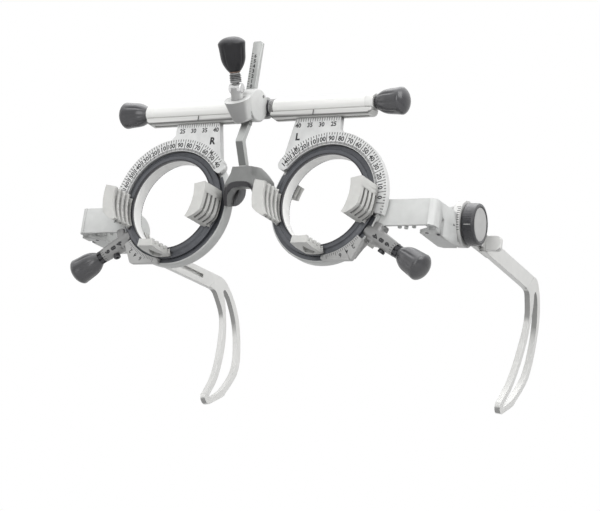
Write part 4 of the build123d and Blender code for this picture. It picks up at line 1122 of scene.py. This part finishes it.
@dataclass(frozen=True)
class TempleMount:
    """Bracket, tilt dial, knurled wheel and temple of one side.

    The wheel's, the dial's and the pointer's places are in the side's own plane. pins gives each
    pin's place across and its rise, and screws each screw's place across and back and its radius.
    """

    side: Side
    wheel_radius: float = 7.8
    wheel_back: float = 1.15
    wheel_front: float = 6.0
    cap_radius: float = 6.3
    cap_depth: float = 1.2
    knurls: int = 72
    knurl_depth: float = 0.09
    index_fall: float = 17.0
    index_inset: float = 1.1
    index_width: float = 0.35
    dial_radius: float = 8.6
    dial_front: float = 0.7
    dial_pitch: float = 6.0
    dial_ticks: Tuple[float, float] = (1.1, 1.7)
    dial_width: float = 0.26
    pointer: Triple = (0.0, 19.0, -3.3)
    pin_radius: float = 0.75
    pins_y: float = 6.3
    pins_z: float = -9.2
    pins: Tuple[Tuple[float, float], ...] = ((65.3, 0.7), (68.4, 0.4), (62.6, 0.35))
    screws_z: float = -10.4
    screws: Tuple[Triple, ...] = ((71.8, 10.0, 0.7), (75.2, 12.4, 0.6))

    def wheel(self, plane: SidePlane) -> None:
        """Hand wheel with a straight knurl, a rolled front rim and a recess for its cap.

        Args:
            plane: the plane that the wheel turns in.
        """
        end = self.side.label
        made = Piece(f"knurled_wheel_{end}", Palette.wheel, f"tilt_holder_{end}", "wheel")
        depth, rim, cap = self.wheel_front - self.wheel_back, self.wheel_radius, self.cap_radius
        profile = [(0.0, 0.0), (rim - 0.7, 0.0), (rim - 0.2, 0.2), (rim, 0.7), (rim, 1.3),
                   (rim, depth - 1.4), (rim, depth - 0.8), (rim - 0.22, depth - 0.28),
                   (rim - 0.75, depth), (cap + 0.2, depth), (cap, depth - 0.15),
                   (cap, depth - self.cap_depth), (0.0, depth - self.cap_depth)]
        shape = turned(profile, self.knurls * 4)
        for v in shape.verts:
            if math.hypot(v.co.x, v.co.y) > rim - 0.05 and 1.0 < v.co.z < depth - 1.0:
                phase = math.cos(self.knurls * math.atan2(v.co.y, v.co.x))
                drawn_in(v, self.knurl_depth * (0.5 - 0.5 * phase))
        hub = plane.point(self.wheel_back, plane.pivot_u, plane.pivot_z)
        made.add(shape, placement(hub, plane.out, UP))
        made.finished(f"side_wheel_{end}", smooth=28.0)

    def wheel_index(self, plane: SidePlane) -> None:
        """Pale index line across the wheel's rim.

        Args:
            plane: the plane that the wheel turns in.
        """
        end = self.side.label
        line = Piece(f"wheel_index_{end}", Palette.index, f"tilt_holder_{end}", "wheel")
        depth = self.wheel_front - self.wheel_back
        tick = Printer.dash(depth - 2 * self.index_inset, self.index_width)
        Printer.wrapped(tick, lambda along: self.wheel_radius)
        start = plane.point(self.wheel_back + self.index_inset, plane.pivot_u, plane.pivot_z)
        fall = math.radians(self.index_fall)
        line.add(tick, placement(start, -UP * math.sin(fall) - plane.back * math.cos(fall), plane.out))
        line.finished()

    def dial(self, plane: SidePlane) -> None:
        """Ticks round the front of the tilt dial and the bracket's pointer.

        Args:
            plane: the plane that the dial turns in.
        """
        end = self.side.label
        made = Piece(f"dial_print_{end}", Palette.ink, f"tilt_holder_{end}", "holder")
        one, five = self.dial_ticks
        for step in range(-5, 6):
            turn = math.radians(step * self.dial_pitch * self.side.value)
            long = five if step % 5 == 0 else one
            tick = Printer.dash(long, self.dial_width)
            Printer.wrapped(tick, lambda along: self.dial_radius)
            foot = plane.point(self.dial_front - long, plane.pivot_u, plane.pivot_z)
            made.add(tick, placement(foot, Matrix.Rotation(turn, 3, plane.out) @ -plane.back, plane.out))
        made.finished()
        arrow = bmesh.new()
        bmesh.ops.create_cone(arrow, cap_ends=True, segments=3, radius1=0.7, radius2=0.7,
                              depth=Printer.depth)
        bmesh.ops.scale(arrow, vec=(0.7, 1.6, 1.0), verts=arrow.verts)
        pointer = Piece(f"dial_pointer_{end}", Palette.ink, f"eye_carrier_{end}", "housing")
        pointer.add(arrow, placement(plane.point(*self.pointer), plane.out, plane.back))
        pointer.finished()

    def underside(self) -> None:
        """Pins under the bracket's front plate and screws in its foot."""
        end, way = self.side.label, self.side.value
        pins = Piece(f"bracket_pins_{end}", Palette.housing, f"eye_carrier_{end}", "housing")
        for x, rise in self.pins:
            pins.add(socket_screw(self.pin_radius, rise),
                     placement(spot(way * x, self.pins_y, self.pins_z), -UP, FRONT))
        pins.finished()
        made = Piece(f"bracket_screws_{end}", Palette.black, f"eye_carrier_{end}", "housing")
        for x, y, radius in self.screws:
            made.add(socket_screw(radius, 0.1), placement(spot(way * x, y, self.screws_z), -UP, FRONT))
        made.finished()

    def build(self) -> None:
        """Dress the side and add its wheel and print."""
        plane = SidePlane(self.side)
        for node, finish in (("temple_bracket", Palette.housing), ("temple_holder", Palette.holder),
                             ("pivot_screw", Palette.wheel_cap), ("temple", Palette.temple),
                             ("thumb_tab", Palette.temple)):
            refine(f"{node}_{self.side.label}", finish)
        self.wheel(plane)
        self.wheel_index(plane)
        self.dial(plane)
        self.underside()


@dataclass(frozen=True)
class NoseRest:
    """Hub, spindle, rod with its height scale, and the saddle.

    washer and thread are profiles as radius and height along the spindle. collar_steps are the distances from
    the middle of the bar of the ribs of the black collars, which paint the shade where the tubes meet the
    drum.
    """

    lean: float = 28.0
    barrel_y: float = -17.1
    barrel_z: float = 38.1
    knob_root: float = 6.3
    washer: Outline = ((0, 0), (1.95, 0), (2.1, 0.15), (2.1, 0.35), (1.95, 0.5), (0, 0.5))
    thread: Outline = ((0, 0), (1.9, 0), (2.25, 0.14), (2.25, 0.2), (1.9, 0.34), (0, 0.34))
    thread_start: float = 3.0
    thread_pitch: float = 0.62
    thread_turns: int = 4
    rod_front: float = -8.1
    rod_width: float = 3.6
    rod_digits: float = 0.05
    rod_tick: Tuple[float, float] = (0.7, 0.28)
    rod_type: Tuple[float, float] = (1.5, 0.05)
    bar_y: float = 0.35
    bar_z: float = 36.7
    collar_radius: float = 3.24
    collar_groove: float = 0.2
    collar_steps: Tuple[float, ...] = (5.1, 5.65, 6.2, 6.75)
    drum_screw: Triple = (4.5, -5.4, 39.0)
    scale_low: float = 42.4
    scale_pitch: float = 2.0
    scale_count: int = 7

    @property
    def along(self) -> Vector:
        """Direction up the spindle."""
        turn = math.radians(self.lean)
        return Vector((0.0, -math.sin(turn), math.cos(turn)))

    def point(self, distance: float) -> Vector:
        """Point on the spindle this far above the barrel nut."""
        return spot(0.0, self.barrel_y, self.barrel_z) + self.along * (distance * MM)

    def rod_scale(self) -> None:
        """Height ticks and numerals on the rod's front."""
        made = Piece("rod_print", Palette.ink, "nose_bridge", "rod")
        left = -self.rod_width / 2 + 0.1
        for step in range(2 * self.scale_count):
            z = self.scale_low + step * self.scale_pitch / 2
            made.add(Printer.dash(*self.rod_tick),
                     placement(spot(left, self.rod_front, z), FRONT, Side.LEFT.outwards))
            if step % 2 == 0:
                made.add(Printer.word(str(step // 2), *self.rod_type),
                         placement(spot(self.rod_digits, self.rod_front, z), FRONT, UP))
        made.finished()

    def spindle_trim(self) -> None:
        """Copper washer under the knob and the thread below it."""
        washer = Piece("spindle_washer", Palette.copper, "nose_drive", "chrome")
        washer.add(turned(self.washer, 48), placement(self.point(self.knob_root - 0.5), self.along, -FRONT))
        washer.finished()
        thread = Piece("spindle_thread", Palette.black, "nose_drive", "chrome")
        for turn in range(self.thread_turns):
            thread.add(turned(self.thread, 40),
                       placement(self.point(self.thread_start + turn * self.thread_pitch),
                                 self.along, -FRONT))
        thread.finished()

    def collars(self) -> None:
        """Black ribbed collars where the tubes meet the drum, as painted shade there."""
        made = Piece("drum_collars", Palette.collar, "front_bar", "tube")
        outer, inner = self.collar_radius, self.collar_radius - self.collar_groove
        ribs = []
        for reach in self.collar_steps:
            ribs += [(inner, reach), (outer, reach + 0.12), (outer, reach + 0.42), (inner, reach + 0.54)]
        for side in Side:
            made.add(turned([(0, ribs[0][1]), *ribs, (0, ribs[-1][1])], 48),
                     placement(spot(0, self.bar_y, self.bar_z), side.outwards, UP))
        made.finished()

    def drum_screws(self) -> None:
        """Socket screws in the ends of the drum."""
        made = Piece("drum_screws", Palette.black, "front_bar", "housing")
        x, y, z = self.drum_screw
        for side in Side:
            made.add(socket_screw(0.55, 0.12),
                     placement(spot(side.value * x, y, z), side.outwards, UP))
        made.finished()

    def build(self) -> None:
        """Dress the nose rest and add its print, trim and knob."""
        for node, finish in (("hub_body", Palette.hub), ("nose_swivel", Palette.steel),
                             ("barrel_nut", Palette.chrome), ("spindle_bush", Palette.hub),
                             ("nose_spindle", Palette.stem), ("nose_rod", Palette.rod)):
            refine(node, finish)
        refine("nose_saddle", Palette.saddle, bevel=0.25)
        refine("nose_pads", Palette.pad)
        self.rod_scale()
        self.spindle_trim()
        self.drum_screws()
        self.collars()
        Knob().make("nose_knob", "nose_drive", self.point(self.knob_root), self.along,
                    Palette.dark_knob)


# ---- studio ---------------------------------------------------------------------------
@dataclass(frozen=True)
class Lamp:
    """Soft square lamp aimed at the object's middle."""

    name: str
    place: Triple
    power: float
    size: float
    target: Triple = (0.0, 0.03, 0.0)

    def build(self) -> None:
        """Hang the lamp."""
        data = bpy.data.lights.new(self.name, "AREA")
        data.energy, data.size, data.shape = self.power, self.size, "SQUARE"
        made = linked(self.name, data)
        made.location = self.place
        aim = Vector(self.target) - Vector(self.place)
        made.rotation_euler = aim.to_track_quat("-Z", "Y").to_euler()


@dataclass(frozen=True)
class Studio:
    """Camera, lamps, world and floor."""

    eye: Triple = (0.4484, -0.6760, -0.2415)
    right: Triple = (0.859, 0.492, 0.140)
    forward: Triple = (-0.511, 0.819, 0.262)
    lens: float = 137.45
    sensor: float = 36.0
    lamps: Tuple[Lamp, ...] = (
        Lamp("key", (0.80, -0.30, 0.55), 5.0, 0.7), Lamp("top", (-0.15, 0.25, 0.95), 2.8, 0.8),
        Lamp("front", (0.25, -1.00, 0.10), 3.4, 0.6), Lamp("fill", (-0.85, -0.55, 0.15), 1.2, 0.7))
    floor_z: float = -0.262
    floor_half: float = 3.0
    ambient: float = 0.74
    ambient_below: float = 0.26
    horizon: Tuple[float, float] = (-0.25, 0.35)

    def camera(self) -> None:
        """Set the scene's camera."""
        right, forward = Vector(self.right).normalized(), Vector(self.forward).normalized()
        data = bpy.data.cameras.new("camera")
        data.lens, data.sensor_width, data.clip_start = self.lens, self.sensor, 0.01
        camera = linked("camera", data)
        turn = Matrix((right, right.cross(forward), -forward)).transposed().to_4x4()
        camera.matrix_world = Matrix.Translation(Vector(self.eye)) @ turn
        bpy.context.scene.camera = camera

    def world(self) -> None:
        """White surroundings; what lights the object is plainer, and less from below."""
        world = bpy.data.worlds.new("studio")
        world.use_nodes = True
        bpy.context.scene.world = world
        shade = Shade(world.node_tree)
        seen = shade.seen()
        way = shade.node("ShaderNodeSeparateXYZ",
                         {0: shade.node("ShaderNodeTexCoord", out="Generated")}, out=2)
        level = way.between(*self.horizon) * (self.ambient - self.ambient_below) + self.ambient_below
        light = shade.node("ShaderNodeBackground", {"Color": (1.0, 1.0, 1.0),
                                                    "Strength": seen + (1.0 - seen) * level})
        shade.node("ShaderNodeOutputWorld", {"Surface": light})

    def floor_paper(self) -> bpy.types.Material:
        """White paper that gives the object little light back and is clear from underneath.

        Returns:
            The floor's material.
        """
        made = bpy.data.materials.new("floor_paper")
        made.use_nodes = True
        shade = Shade(made.node_tree)
        seen = shade.seen()
        tone = shade.blend(seen, (0.30, 0.30, 0.30), (0.88, 0.88, 0.88))
        glow = shade.blend(seen, (0.0, 0.0, 0.0), (0.2, 0.2, 0.2))
        paper = shade.node("ShaderNodeBsdfPrincipled", {"Base Color": tone, "Roughness": 0.9,
                                                        "Emission Color": glow, "Emission Strength": 1.0})
        under = shade.node("ShaderNodeNewGeometry", out="Backfacing")
        clear = shade.node("ShaderNodeBsdfTransparent")
        sheet = shade.node("ShaderNodeMixShader", {0: under, 1: paper, 2: clear})
        shade.node("ShaderNodeOutputMaterial", {"Surface": sheet})
        return made

    def floor(self) -> None:
        """Pale sheet well under the object, which keeps its shadow."""
        bm = bmesh.new()
        bmesh.ops.create_grid(bm, x_segments=1, y_segments=1, size=self.floor_half)
        bmesh.ops.translate(bm, vec=(0, 0, self.floor_z), verts=bm.verts)
        mesh = bpy.data.meshes.new("floor")
        bm.to_mesh(mesh)
        bm.free()
        floor = linked("floor", mesh)
        mesh.materials.append(self.floor_paper())

    def build(self) -> None:
        """Set up the studio."""
        self.camera()
        self.world()
        self.floor()
        for lamp in self.lamps:
            lamp.build()
        bpy.context.scene.view_settings.view_transform = "Standard"


def main() -> None:
    """Build the studio and every sub-assembly in order."""
    logging.basicConfig(level=logging.INFO, format="%(name)s %(message)s")
    Studio().build()
    UpperBar().build()
    for side in Side:
        LensCell(side).build()
        AxisDrive(side).build()
        TempleMount(side).build()
    NoseRest().build()


if __name__ == "__main__":
    main()
